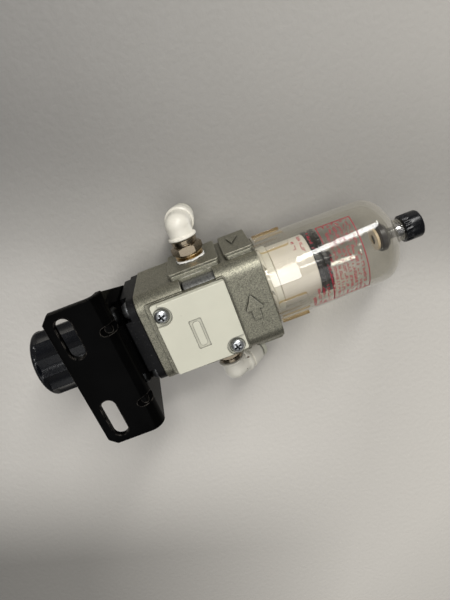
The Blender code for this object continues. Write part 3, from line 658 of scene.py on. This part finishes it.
def cover(side, place):
    """A cream blanking plate with two sunk corners for its screws."""
    name = f"{side}_cover"
    made = slab(plate(-COVER_X, COVER_X, *COVER_Z, 0.8), SEAT_Y, COVER_FACE, 0.28, place)
    floor = COVER_FACE - SINK_DEPTH
    for i in range(2):
        screw_name = f"{name}_screw_{i}"
        low, high = span(screw_name)
        middle = (low + high) / 2
        x = middle.x if side == "front" else -middle.x
        out = 1 if x > 0 else -1
        shape = [(-SINK_R, 12), *arc(0, 0, SINK_R, 180, 360, 25), (12, 0), (12, 12)]
        shape = [(x + out * a, middle.z + out * b) for a, b in shape]
        cut(made, stack(shape, [(floor, 0), (COVER_FACE - 0.3, 0), (COVER_FACE - 0.09, 0.09),
                                (COVER_FACE + 0.3, 0.45)], place))
        cut(made, stack(circle(COUNTERBORE_R, 48, x, middle.z), [(floor - 0.5, 0), (floor + 0.6, 0)],
                        place))
        screw(screw_name, COVER_SCREW_R, COVER_FACE - 0.9, COVER_FACE + 0.6, 1.0,
              place @ at(x, middle.z))
    cut(made, stack(PANEL, [(COVER_FACE - 0.55, 0), (COVER_FACE - 0.1, 0.02),
                            (COVER_FACE + 0.2, 0.3)], place))
    join(made, slab(PILL, COVER_FACE - 1.0, COVER_FACE - 0.18, 0.12, place))
    piece(made, name + "_plate", CREAM, "housing", "cream_plastic", name)


# ---- Bonnet, ring nut, bracket ----

FLANGE_TOP = 29.7
NECK_R, NECK_TOP = 13.9, 59.5
RIDGES, RIDGE_TOP, RIDGE_STEP = 4, 41.0, 0.8
BONNET_BORE = [(0, 64), (3.3, 64), (3.3, 56), (9.8, 56), (9.8, 30), (12.6, 27), (12.6, 20), (0, 20)]
SCREW_SPREAD, SCREW_SINK_R = 13.4, 5.3
RING_R, RING_NOTCHES = 17.2, 6
LEG_Z = 30.0
WALL_Y = span("bracket")[0].y
BRACKET_X, LEG_END, BRACKET_TOP = span("bracket")[1]
THICK, BEND = 2.3, 5.0
SLOT_X, SLOT_Z, SLOT_SIZE = 17.0, 45.0, (5.4, 15.4)
WAIST_R, WAIST_END = 18.5, 24.5
DENT_X, DENT_R, WEB = 15.0, 1.75, 8
BEVEL = 3.1    # the cut across each top corner of the bracket


def bonnet():
    """The black bonnet: a flange with a sunk screw at each corner, and a ridged neck."""
    shell = slab(plate(-17.4, 17.4, -18.1, 18.1, 5.5, 17), HOUSING_TOP + 0.15, FLANGE_TOP, 0.55,
                 edge_low=0.15)
    neck = [(0, NECK_TOP), (8.6, NECK_TOP), (10.7, 58.3), (11.3, 56.1), (11.3, 42.7), (12.9, 41.5)]
    for i in range(RIDGES):
        ridge = RIDGE_TOP - RIDGE_STEP * i
        neck += [(NECK_R, ridge), (NECK_R, ridge - 0.25), (NECK_R - 0.4, ridge - 0.4),
                 (NECK_R - 0.4, ridge - 0.6)]
    neck += [(NECK_R, 37.4), (NECK_R, 26.0), (0, 26.0)]
    join(shell, lathe(neck))
    cut(shell, lathe(BONNET_BORE))
    for i, (sx, sy) in enumerate(CORNERS):
        x, y = sx * SCREW_SPREAD, sy * SCREW_SPREAD
        cut(shell, stack(circle(SCREW_SINK_R, 48, x * 1.09, y * 1.09),
                         [(27.0, 0), (FLANGE_TOP - 0.3, 0), (FLANGE_TOP + 0.3, 0.4), (34, 0.4)]),
            stack(circle(2.1, 24, x, y), [(22, 0), (28, 0)]))
        screw(f"bonnet_screw_{i}", 3.3, 27.05, 29.6, 1.6, at(x, y) @ about_z(0.7 * i))
    piece(shell, "bonnet_shell", BLACK, "housing", "black_plastic", "bonnet")


def ring_nut():
    low, high = heights("ring_nut")
    inner = NECK_R + 0.15
    nut = lathe([(RING_R - 1.0, high), (17.0, high - 0.5), (RING_R, high - 1.0), (RING_R, low + 0.3),
                 (16.9, low), (inner, low), (inner, high - 0.6), (inner + 0.5, high)])
    for i in range(RING_NOTCHES):
        cut(nut, slab(plate(-1.5, 1.5, 16.1, 22, 0.4, 4), low + 1.5, high + 4, 0.2,
                      about_z(math.radians(60 * i))))
    piece(nut, "ring_nut_moulded", BLACK, "housing", "black_plastic", "ring_nut")


def mirrored(outline, side):
    """An outline on the +X side, or its mirror image on the other, turning the same way."""
    return outline if side > 0 else [(-x, y) for x, y in outline][::-1]


def bracket():
    """One bent plate: the wall face with two slots, and the leg under the ring nut."""
    centre = (WALL_Y + BEND, LEG_Z + BEND)
    profile = [(WALL_Y + THICK, BRACKET_TOP), (WALL_Y, BRACKET_TOP),
               *arc(*centre, BEND, 180, 270, 14), (LEG_END, LEG_Z), (LEG_END, LEG_Z + THICK),
               *arc(*centre, BEND - THICK, 270, 180, 14)]
    made = slab(rounded(profile, 0.5, 4), -BRACKET_X, BRACKET_X, 0.35, PROFILE_YZ)
    cut(made, stack(circle(NECK_R + 0.2, AROUND), [(26, 0), (40, 0)]))
    through = [(26, 0.6), (-WALL_Y - THICK - 0.01, 0.3), (-WALL_Y - THICK + 0.3, 0.0),
               (-WALL_Y - 0.3, 0.0), (-WALL_Y + 0.01, 0.3), (34, 0.6)]
    waist = [(BRACKET_X + 6, WALL_Y + BEND), (BRACKET_X - 0.4, WALL_Y + BEND),
             *arc(0, 0, WAIST_R, -28, 88, 40)[14:], (1, WAIST_END), (BRACKET_X + 6, WAIST_END)]
    notch = [(BRACKET_X - BEVEL, BRACKET_TOP + 0.1), (BRACKET_X + 0.1, BRACKET_TOP - BEVEL),
             (BRACKET_X + 5, BRACKET_TOP + 5)]
    inset = BEND * (1 - math.sqrt(0.5))
    lean = Matrix.Rotation(math.radians(-135), 4, "X")
    corner = (WALL_Y + 1.6, LEG_Z + 1.6)
    web = rounded([corner, (corner[0] + WEB, corner[1]), (corner[0], corner[1] + WEB)], 0.8, 4)
    for side in (-1, 1):
        cut(made, stack(mirrored(waist, side), [(26, 0), (34, 0)]))
        cut(made, stack(stadium(*SLOT_SIZE), through, FRONT @ at(side * SLOT_X, SLOT_Z)))
        cut(made, stack(mirrored(notch, side), [(20, 0), (36, 0)], FRONT))
        cut(made, slab(circle(DENT_R, 32), -4.6, 4.6, 1.4,
                       at(side * DENT_X, WALL_Y + inset, LEG_Z + inset) @ lean))
        join(made, slab(web, side * DENT_X - 1.6, side * DENT_X + 1.6, 0.6, PROFILE_YZ))
    piece(made, "bracket_plate", STEEL, "housing", "black_steel", "bracket")


# ---- Knob ----

KNOB_R = span("adjusting_knob")[1].x
SCOOPS, SCOOP_DEPTH, SCOOP_FADE = 12, 1.15, 0.8


def knob():
    """A cap gripped by long scoops that meet in sharp crests."""
    low, high = heights("adjusting_knob")
    shoulder = high - 1.5

    def ripple(radius, height, angle):
        if radius < KNOB_R - 0.5:
            return radius
        fade = held((shoulder - height) / SCOOP_FADE) * held((height - low - 0.7) / SCOOP_FADE)
        return radius - SCOOP_DEPTH * fade * abs(math.sin(SCOOPS * angle / 2))

    levels = [shoulder - 0.8 * k / 4 for k in range(5)]
    levels += [shoulder - 0.8 - (shoulder - 0.8 - low - 1.5) * k / 3 for k in range(1, 4)]
    made = lathe([
        (0, high - 0.9), (8.4, high - 0.9), (8.9, high - 0.6), (9.2, high), (KNOB_R - 1.3, high),
        (KNOB_R - 0.9, high - 0.1), (KNOB_R - 0.25, high - 0.6), (KNOB_R, high - 1.1),
        *((KNOB_R, z) for z in levels), (KNOB_R, low + 0.7), (KNOB_R - 0.4, low + 0.15),
        (KNOB_R - 0.7, low), (11.9, low), (11.8, low + 0.2), (11.8, high - 3.2), (5.0, high - 3.2),
        (5.0, high - 9.7), (3.1, high - 9.7), (3.1, high - 2.7), (0, high - 2.7)],
        steps=SCOOPS * 16, ripple=ripple)
    piece(made, "knob_cap", KNOB, "adjusting_knob", "black_plastic", "adjusting_knob", crease=24.0)


# ---- Filter and bowl ----

BOWL_R, BOWL_LOW_R, BOWL_WALL = 17.4, 16.9, 2.2
TAPER_Z = -38.0    # the bowl narrows from here down to the dome
FLANGE_R = span("bowl")[1].x
DOME_Z, DOME_END = -68.0, -78.0
DOME_TURNS = [math.radians(6 * i) for i in range(1, 13)]
SPOUT_R, SPOUT_BORE = 4.5, 2.5
SPOUT_END = heights("bowl")[0]
BOWL_NECK = [    # into the housing, with the seal's groove, and out to the flange
    (15.9, -13.9), (16.2, -14.2), (16.2, -17.2), (14.9, -17.3), (14.9, -19.7), (16.2, -19.8),
    (16.2, -23.55), (FLANGE_R - 0.25, -23.7), (FLANGE_R, -23.95), (FLANGE_R, -24.65),
    (FLANGE_R - 0.25, -24.9), (17.75, -25.0), (17.45, -25.4)]
LUGS, LUG_WIDTH, LUG_R = 8, 8.0, 18.1
LUG_DROP = (24.8, 36.0)
AMBER_Z = (-37.0, -23.4)    # the lugs and flange, whose edges look amber
LOUVRE_PROFILE = [
    (10.6, -13.3), (10.8, -13.5), (10.8, -16.4), (13.3, -17.4), (13.4, -17.6), (13.4, -27.8),
    (13.2, -28.0), (10.2, -28.0), (10.2, -20.0), (8.5, -20.0), (8.5, -13.3)]
VANES, VANE_TILT = 8, 0.35
ELEMENT_R, ELEMENT_BORE, PIT_DEPTH = 12.4, 9.6, 0.10
BAFFLE_PROFILE = [    # a plug and two discs
    (0, -39.5), (9.0, -39.5), (9.1, -43.6), (12.6, -43.6), (12.8, -43.8), (12.8, -45.0),
    (12.6, -45.2), (9.5, -45.2), (9.5, -46.6), (12.6, -46.6), (12.8, -46.8), (12.8, -48.0),
    (12.6, -48.2), (3.0, -48.2), (2.2, -51.6), (1.8, -52.0), (0, -52.0)]
TEETH = 24


def bowl_radius(height):
    share = held((TAPER_Z - height) / (TAPER_Z - DOME_Z))
    return BOWL_R + (BOWL_LOW_R - BOWL_R) * share


def bowl():
    """The clear bowl, with lugs below its flange and a threaded spout."""
    outer = BOWL_NECK + [(bowl_radius(z), z) for z in (TAPER_Z, -48.0, -58.0, DOME_Z)]
    outer += [(BOWL_LOW_R * math.cos(a), DOME_Z + (DOME_END - DOME_Z) * math.sin(a))
              for a in DOME_TURNS[:-1]]
    outer += [(SPOUT_R + 0.9, DOME_END + 0.35), (SPOUT_R + 0.3, DOME_END - 0.1),
              (SPOUT_R, DOME_END - 0.6)]
    for i in range(2):
        ridge = DOME_END - 1.0 - 1.0 * i
        outer += [(SPOUT_R, ridge), (SPOUT_R - 0.45, ridge - 0.15), (SPOUT_R - 0.45, ridge - 0.45),
                  (SPOUT_R, ridge - 0.6)]
    outer += [(SPOUT_R, SPOUT_END + 0.2), (SPOUT_R - 0.2, SPOUT_END)]
    low = BOWL_LOW_R - BOWL_WALL
    start = DOME_Z + 0.6
    floor = DOME_END + BOWL_WALL
    inner = [(SPOUT_BORE, SPOUT_END), (SPOUT_BORE, floor + 0.2), (2.8, floor)]
    inner += [(low * math.cos(a), start + (floor - start) * math.sin(a)) for a in DOME_TURNS[::-1]]
    inner += [(low, start), (BOWL_R - BOWL_WALL, TAPER_Z), (13.9, -24.0), (13.9, -14.2),
              (14.2, -13.9)]
    made = lathe(outer + inner, steps=144)
    lug = plate(-LUG_WIDTH / 2, LUG_WIDTH / 2, *LUG_DROP, 0.9)
    for i in range(LUGS):
        turn = about_z(2 * math.pi * (i + 0.5) / LUGS)
        join(made, slab(lug, BOWL_R - 1.2, LUG_R, 0.22, turn @ PROFILE_YZ_DOWN))
    piece(made, "bowl_moulded", CLEAR, "bowl", "clear_bowl", "bowl")
    made.data.materials.append(CLEAR_INSIDE.material)
    made.data.materials.append(CLEAR_EDGE.material)
    for face in made.data.polygons:
        place = (face.center - AXIS) / MM
        spoke = Vector((place.x, place.y, 0))
        facing = face.normal.dot(spoke.normalized())
        dome_floor = face.normal.z > 0.3 and place.z < DOME_Z
        if facing < -0.1 or dome_floor:
            face.material_index = 1
        elif facing < 0.6 and AMBER_Z[0] < place.z < AMBER_Z[1] and spoke.length > BOWL_R - 0.1:
            face.material_index = 2


def louvre():
    """The ring that sets the air spinning, with slanted vanes."""
    made = lathe(LOUVRE_PROFILE)
    for i in range(VANES):
        tilt = about_z(math.pi / 4 * i) @ Matrix.Rotation(VANE_TILT, 4, "X")
        cut(made, slab(plate(9.0, 16.0, -1.0, 1.0, 0.3, 3), -26.5, -20.5, 0.3, tilt))
    piece(made, "louvre_moulded", LOUVRE, "housing", "white_resin", "louvre")


def element():
    """The filter element, its skin pitted."""
    low, high = heights("filter_element")
    profile = [(ELEMENT_BORE, high), (ELEMENT_R - 0.3, high), (ELEMENT_R, high - 0.3)]
    profile += [(ELEMENT_R, high - 0.3 - (high - low - 0.6) * k / 12) for k in range(1, 13)]
    profile += [(ELEMENT_R - 0.3, low), (ELEMENT_BORE, low)]

    def ripple(radius, height, angle):
        pit = noise.noise(Vector((math.cos(angle) * 9, math.sin(angle) * 9, height * 0.7)))
        return radius - PIT_DEPTH * max(0.0, pit)

    piece(lathe(profile, steps=144, ripple=ripple), "element_sintered", RESIN, "housing",
          "white_resin", "filter_element")


def baffle():
    """A plug with two toothed discs that keep the water below them still."""
    made = lathe(BAFFLE_PROFILE)
    for i in range(TEETH):
        wide, reach = (1.4, 10.8) if i % 3 == 0 else (0.45, 11.9)
        cut(made, slab(plate(reach, 16.0, -wide, wide, 0.2, 3), -52.5, -41.0, 0.1,
                       about_z(2 * math.pi * i / TEETH)))
    piece(made, "baffle_moulded", HEAD, "housing", "black_plastic", "baffle")


# ---- Drain ----

STEM_PROFILE = [
    (0, -70.4), (3.4, -70.4), (3.6, -70.6), (3.6, -71.3), (5.3, -71.4), (5.7, -71.9), (5.7, -73.7),
    (5.3, -74.2), (2.2, -74.3), (2.2, -86.5), (0, -86.5)]
COLLAR_PROFILE = [(2.0, -69.9), (4.3, -70.0), (4.5, -70.2), (4.5, -71.0), (4.3, -71.2), (2.0, -71.2)]
FERRULE_PROFILE = [(2.4, -79.0), (2.9, -79.1), (2.9, -81.3), (2.4, -81.4)]
GRIP_R = span("drain_knob")[1].x
GRIP_FLOOR = -87.2
FLUTES, FLUTE_DEPTH, FLUTE_LENGTH = 20, 0.35, 3.2


def drain():
    """The stem with its head inside the bowl, and the fluted knob below."""
    piece(lathe(STEM_PROFILE), "drain_stem_head", HEAD, "drain_stem", "brass", "drain_stem")
    piece(lathe(COLLAR_PROFILE), "drain_stem_collar", BEIGE, "drain_stem", "brass")
    piece(lathe(FERRULE_PROFILE, steps=48), "drain_spout_ferrule", SPRING, "bowl", "brass")
    low, high = heights("drain_knob")

    def ripple(reach, height, angle):
        if reach < GRIP_R - 0.01 or height < high - FLUTE_LENGTH:
            return reach
        fade = min(1.0, (height - high + FLUTE_LENGTH) / 0.6)
        return reach - FLUTE_DEPTH * (0.5 + 0.5 * math.cos(FLUTES * angle)) * fade

    grip = lathe([
        (SPOUT_BORE, high), (GRIP_R - 0.5, high), (GRIP_R - 0.15, high - 0.15),
        *((GRIP_R, high - 0.45 - 0.55 * k) for k in range(6)), (GRIP_R, low + 1.0),
        (GRIP_R - 0.3, low + 0.35), (GRIP_R - 0.9, low), (1.2, low), (1.2, GRIP_FLOOR),
        (SPOUT_BORE, GRIP_FLOOR)], steps=160, ripple=ripple)
    piece(grip, "drain_grip", KNOB, "drain_knob", "black_plastic", "drain_knob", crease=40.0)


# ---- Printed panel ----

PRINT_ANGLES = (-45.0, 64.0)    # degrees from -Y toward +X
PRINT_Z = (-60.5, -38.5)
ROW_STEP = 1.72
UPPER_ROWS = [-44.6, -42.8, -41.0, -44.0, -40.4, -37.6, -38.9]
LINE, SIDE_LINE = 0.32, 1.1    # a frame line's height, and its width in degrees
STEP_ANGLE, STEP_DROP = 38.0, 9.0    # the frame steps down here toward its right end
INK, ROOT = 0.06, -0.02    # how far the ink stands out and reaches in


def printed(shape, start, end, low, high):
    """A thin patch of ink on the bowl between two angles (degrees) and two heights."""
    steps = max(1, round((end - start) / 3.0))
    rings = []
    for i in range(steps + 1):
        angle = math.radians(start + (end - start) * i / steps)
        spoke = Vector((math.sin(angle), -math.cos(angle)))
        ring = []
        for height, lift in ((low, ROOT), (low, INK), (high, INK), (high, ROOT)):
            reach = bowl_radius(height) + lift
            ring.append(shape.verts.new((*(spoke * reach), height)))
        rings.append(ring)
    skin(shape, rings)


def caution_panel():
    """A frame and rows of plain dashes, with no lettering."""
    shape = bmesh.new()
    draw = random.Random(11)
    start, end = PRINT_ANGLES
    low, high = PRINT_Z
    step = high - STEP_DROP
    printed(shape, start, end, low, low + LINE)
    printed(shape, STEP_ANGLE, end, step, step + LINE)
    printed(shape, start, 4.0, -46.2, -46.2 + LINE)
    printed(shape, end - SIDE_LINE, end, low, step + LINE)
    printed(shape, start, start + SIDE_LINE, low, high)
    rows = [low + 1.5 + ROW_STEP * i for i in range(8)] + UPPER_ROWS
    left = start + 3
    spans = [(left, end - 3)] * 6 + [(left, 30.0), (left, 12.0)] + [(left, -12.0)] * 3
    spans += [(36.0, 60.0)] * 2 + [(42.0, 58.0), (left, -22.0)]
    for height, (angle, right) in zip(rows, spans):
        while angle < right:
            if draw.random() < 0.16:
                angle += 2.2
                continue
            wide = draw.uniform(1.1, 1.9)
            foot = height + draw.choice((0.0, 0.0, 0.45))
            if draw.random() < 0.6:
                printed(shape, angle, angle + 0.85, foot, height + 1.05)
            if draw.random() < 0.9:
                level = height + draw.choice((0.0, 0.42, 0.80))
                printed(shape, angle, angle + wide, level, level + 0.30)
            angle += wide + 0.7
    piece(solid(shape), "bowl_print", PRINT, "bowl", "clear_bowl")


# ---- Fittings ----

FITTINGS = {"outlet": (1, 0.8, 8), "inlet": (-1, 0.0, 52)}    # side, how far out, tilt in degrees
HEX_FLATS = 10.6
HEX_START, HEX_END, SHOULDER, JOURNAL_END = 21.5, 25.2, 27.3, 31.0
ELBOW_X = 32.6
ELBOW_R = 4.8
BEND_TURNS = [math.radians(9 * i) for i in range(1, 10)]
ELBOW_PROFILE = [    # along the tube leg, from its mouth to the bend
    (0, 13.6), (4.7, 13.6), (4.95, 13.35), (5.6, 8.3), (5.5, 7.8), (5.3, 7.6), (4.9, 7.6),
    (4.9, 6.65), (5.5, 6.6), (5.7, 6.4), (5.7, 5.4), (5.5, 5.2), (5.0, 4.95), (ELBOW_R, 4.4),
    (ELBOW_R, 0),
    *((ELBOW_R * math.cos(a), -ELBOW_R * math.sin(a)) for a in BEND_TURNS), (0, -ELBOW_R)]
ARM_END = 5.0
ARM_PROFILE = [(0, ARM_END), (5.2, ARM_END), (5.5, ARM_END - 0.25), (5.5, ARM_END - 0.75),
               (5.2, ARM_END - 1.05), (4.7, ARM_END - 1.3), (4.7, 0), (0, 0)]
ARM_BORE = [(0, 9), (3.6, 9), (3.6, 1.3), (2.3, 1.3), (2.3, -1), (0, -1)]
LEG_BORE = [(0, 18), (4.1, 18), (4.1, 8.0), (3.25, 8.0), (3.25, 4.2), (2.2, 4.2), (2.2, -1), (0, -1)]
BUTTON_PROFILE = [(3.7, 16.9), (4.1, 16.9), (4.4, 16.75), (4.6, 16.4), (4.6, 15.1), (4.4, 14.8),
                  (3.8, 14.8), (3.8, 12.9), (3.35, 12.9), (3.35, 16.6)]


def stud(name, along, start, end, shoulder, journal):
    """The hexagon and journal, and the thread that goes into the port."""
    nut = slab(circle(HEX_FLATS / math.sqrt(3), 6), start, end, 0.05, along)
    bound = lathe([(0, end), (5.0, end), (5.75, end - 0.45), (6.2, end - 0.9), (6.2, start + 0.9),
                   (5.75, start + 0.45), (5.0, start), (0, start)], along)
    combine(nut, "INTERSECT", [bound])
    join(nut, lathe([(0, journal), (3.3, journal), (3.3, shoulder), (4.7, shoulder),
                     (4.9, shoulder - 0.25), (4.9, end + 0.7), (4.5, end + 0.45), (4.5, end - 1),
                     (0, end - 1)], along))
    cut(nut, lathe([(0, 40), (2.3, 40), (2.3, 10), (0, 10)], along, 32))
    piece(nut, f"{name}_stud_hex", NICKEL, "housing", "nickel_brass", f"{name}_stud")
    thread = [(2.5, start + 0.2), (5.0, start + 0.2)]
    ridge = start - 0.1
    while ridge > 13.5:
        thread += [(5.45, ridge - 0.25), (5.45, ridge - 0.4), (4.85, ridge - 0.75)]
        ridge -= 0.9
    thread += [(4.6, 12.6), (2.5, 12.6)]
    piece(lathe(thread, along), f"{name}_thread", BRASS, "housing", "nickel_brass")


def tape(name, side):
    """Sealing tape with a ragged rim, where the thread enters the port."""
    def ragged(radius, height, angle):
        if radius < 5.3:
            return radius
        spot = Vector((math.cos(angle), math.sin(angle), 0.0))
        wave = noise.noise(spot * 1.7 + Vector((0, 0, side * 7.0)))
        fray = noise.noise(spot * 7.0 + Vector((0, 0, side * 3.0 + height * 2.0)))
        return max(5.1, radius + 0.9 * wave + 0.45 * fray)

    seal = PORT_X + 0.05
    made = lathe([(5.05, seal + 0.6), (5.40, seal + 0.6), (5.60, seal + 0.4), (5.70, seal + 0.15),
                  (5.6, seal), (5.05, seal)], ALONG_X[side], 144, ragged)
    piece(made, f"{name}_tape", TAPE, "housing", "thread_sealant", f"{name}_thread_seal")


def elbow(name, leg, arm):
    made = lathe(ELBOW_PROFILE, leg)
    join(made, lathe(ARM_PROFILE, arm))
    cut(made, lathe(ARM_BORE, arm, 48), lathe(LEG_BORE, leg, 48))
    body = f"{name}_elbow"
    piece(made, f"{name}_elbow_moulded", ELBOW, body, "elbow_resin", body)


def release_ring(name, leg):
    """The notched button round the tube, pressed to release it."""
    button = lathe(BUTTON_PROFILE, leg)
    for i in range(2):
        cut(button, slab(plate(3.0, 6.0, -1.2, 1.2, 0.4, 4), 16.3, 18.0, 0.1,
                         leg @ about_z(math.pi * i)))
    piece(button, f"{name}_release_ring", CREAM, f"{name}_button", "cream_plastic", f"{name}_button")


def fitting(name, side, stand, tilt):
    """One stud and its push-in elbow."""
    stud(name, ALONG_X[side], *(x + stand for x in (HEX_START, HEX_END, SHOULDER, JOURNAL_END)))
    tape(name, side)
    turn = Matrix.Rotation(-math.pi / 2 - math.radians(tilt), 4, "X")
    leg = at(side * (ELBOW_X + stand), 0) @ turn
    elbow(name, leg, leg @ ALONG_X[-side])
    release_ring(name, leg)


# ---- Carried-over nodes ----

CARRIED = {
    ZINC: ("adjusting_screw", "diaphragm_plate"),
    SPRING: ("inlet_collet", "outlet_collet"),
    BRASS: ("spring_nut", "valve"),
    LOUVRE: ("valve_guide",),
    RUBBER: ("bowl_seal", "drain_seal", "front_cover_seal", "rear_cover_seal", "inlet_tube_seal",
             "outlet_tube_seal"),
}


def carried_over():
    for finish, nodes in CARRIED.items():
        for node in nodes:
            dress(frame["nodes"][node].data, finish)


# ---- Flexible parts ----


def formed(node, finish):
    """A copy of a CAD node, shown in place of the hidden node."""
    mesh = frame["nodes"][node].data.copy()
    dress(mesh, finish)
    made = linked(node + "_formed", mesh)
    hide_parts(node)
    return made


def springs():
    """Copies each spring that a joint deforms into a piece of the housing with a mesh of its own."""
    for joint in frame["record"]["behaviour"]["joints"]:
        for row in joint.get("deforming_nodes", []):
            if not row["node"].endswith("_spring"):
                continue
            made = formed(row["node"], SPRING)
            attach(made, "housing")
            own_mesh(made)


def diaphragm():
    """A copy of the diaphragm, its placement baked into its mesh."""
    made = formed("diaphragm", RUBBER)
    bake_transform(made)


# ---- Stage, light and camera ----

STAGE_Y = CAD_BOX[1][1] + 0.0012
STAGE_SIZE = 2.0
MIDDLE = Vector([(low + high) / 2 for low, high in zip(*CAD_BOX)])
# Directions on the surface along which its painted light and shade change; its own X and Y are the
# unit's X and Z, and the ends are in metres
TOWARD_LIGHT = ((-0.79, -0.61, 0.0), (-0.146, 0.19))
TOWARD_DRAIN = ((-0.336, -0.935, 0.0), (-0.08, 0.08))
TOWARD_OUTLET = ((0.86, -0.354, 0.0), (-0.16, 0.12))
# Painted light and shade of soft folds: (place, brightness) stops along TOWARD_OUTLET, on the knob's
# side and on the drain's side
KNOB_SIDE_LIGHT_AND_SHADE = ((0.0, 0.28), (0.12, 0.66), (0.24, 1.02), (0.54, 1.02), (0.62, 0.74), (0.73, 0.40),
             (0.845, 0.56), (1.0, 0.66))
DRAIN_SIDE_LIGHT_AND_SHADE = ((0.0, 0.62), (0.54, 0.64), (0.62, 0.44), (0.725, 0.34), (0.86, 0.50), (1.0, 0.56))
ROOM_GLOW, ROOM_LOOK = 0.13, 0.72
LENS_MM, SENSOR_MM = 27.06, 36.0
CAMERA_AT = (0.0679, -0.1378, -0.0559)
CAMERA_RIGHT, CAMERA_BACK = (-0.336, -0.114, -0.935), (0.383, -0.923, -0.025)


def stage():
    """The pale surface that the unit lies on, seen from the front only, with painted light, the
    painted shade of soft folds and a painted shadow near the unit.
    """
    shape = bmesh.new()
    bmesh.ops.create_grid(shape, x_segments=60, y_segments=60, size=STAGE_SIZE)
    floor = meshed(shape, "surface")
    floor.rotation_euler = (math.pi / 2, 0, 0)
    floor.location = (MIDDLE.x, STAGE_Y, MIDDLE.z)
    finish = Finish("surface_grey", (0.375, 0.363, 0.346), 0.75, spread=0.04, blotch=22.0,
                    relief=0.35, grain=420.0, depth=0.0006)
    light, across, height = (finish.steps(finish.dot(finish.coordinates, direction), *ends)
                             for direction, ends in (TOWARD_LIGHT, TOWARD_DRAIN, TOWARD_OUTLET))
    # Painted light: the surface grows lighter toward TOWARD_LIGHT.
    finish.overlay(light, (1.34, 1.28, 1.18))
    # Painted light and shade of soft folds, blended from the knob's side to the drain's side.
    painted_light_and_shade = finish.mix(across, finish.ramp(height, *KNOB_SIDE_LIGHT_AND_SHADE), finish.ramp(height, *DRAIN_SIDE_LIGHT_AND_SHADE))
    # Both tint the surface, and ambient occlusion paints the unit's shadow on it.
    finish.multiply(painted_light_and_shade).painted_shade(13.0, 0.42)
    behind = finish.node("NewGeometry", {}, "Backfacing")
    unseen = finish.node("BsdfTransparent", {})
    finish.join(finish.layer(behind, finish.shader.outputs[0], unseen),
                finish.output.inputs["Surface"])
    floor.data.materials.append(finish.material)
    floor.visible_shadow = False
    floor.visible_diffuse = False


def softbox(name, direction, distance, width, height, watts, tone=(1.0, 1.0, 1.0), roll=0.0):
    """A rectangular lamp that faces the middle of the unit."""
    light = bpy.data.lights.new(name, "AREA")
    light.shape = "RECTANGLE"
    light.size = width
    light.size_y = height
    light.energy = watts
    light.color = tone
    away = Vector(direction).normalized()
    turn = away.to_track_quat("Z", "Y").to_matrix().to_4x4() @ about_z(math.radians(roll))
    linked(name, light).matrix_world = Matrix.Translation(MIDDLE + away * distance) @ turn


def lights():
    softbox("key_window", (0.71, -0.64, -0.29), 0.75, 0.11, 0.62, 4.3, (1.0, 0.99, 0.965), roll=42.0)
    softbox("front_fill", (-0.30, -0.95, 0.05), 0.80, 0.5, 0.7, 1.3)
    softbox("corner_strip", (0.36, -0.93, 0.10), 0.65, 0.06, 0.5, 1.0)
    softbox("rear_left", (-0.60, 0.70, 0.35), 0.85, 0.6, 0.6, 2.6)
    softbox("rear_low", (-0.10, 0.60, -0.80), 0.85, 0.5, 0.6, 2.0)


def room():
    """A pale room to look at, dimmer as a light than it looks."""
    world = bpy.data.worlds.new("room")
    world.use_nodes = True
    tree = world.node_tree
    sky = tree.nodes["Background"]
    sky.inputs["Color"].default_value = (0.80, 0.79, 0.77, 1.0)
    seen = tree.nodes.new("ShaderNodeLightPath")
    level = tree.nodes.new("ShaderNodeMapRange")
    level.inputs["To Min"].default_value = ROOM_GLOW
    level.inputs["To Max"].default_value = ROOM_LOOK
    tree.links.new(seen.outputs["Is Camera Ray"], level.inputs["Value"])
    tree.links.new(level.outputs["Result"], sky.inputs["Strength"])
    bpy.context.scene.world = world
    bpy.context.scene.view_settings.view_transform = "Standard"


def camera():
    view = bpy.data.cameras.new("view")
    view.lens = LENS_MM
    view.sensor_width = SENSOR_MM
    view.clip_start = 0.01
    made = linked("view", view)
    right = Vector(CAMERA_RIGHT).normalized()
    back = Vector(CAMERA_BACK)
    back = (back - right * back.dot(right)).normalized()
    turn = Matrix((right, back.cross(right), back)).transposed().to_4x4()
    made.matrix_world = Matrix.Translation(CAMERA_AT) @ turn
    bpy.context.scene.camera = made


housing()
cover("front", FRONT)
cover("rear", REAR)
bonnet()
ring_nut()
bracket()
knob()
bowl()
louvre()
element()
baffle()
drain()
caution_panel()
for fitting_name, details in FITTINGS.items():
    fitting(fitting_name, *details)
carried_over()
springs()
diaphragm()
stage()
lights()
room()
camera()
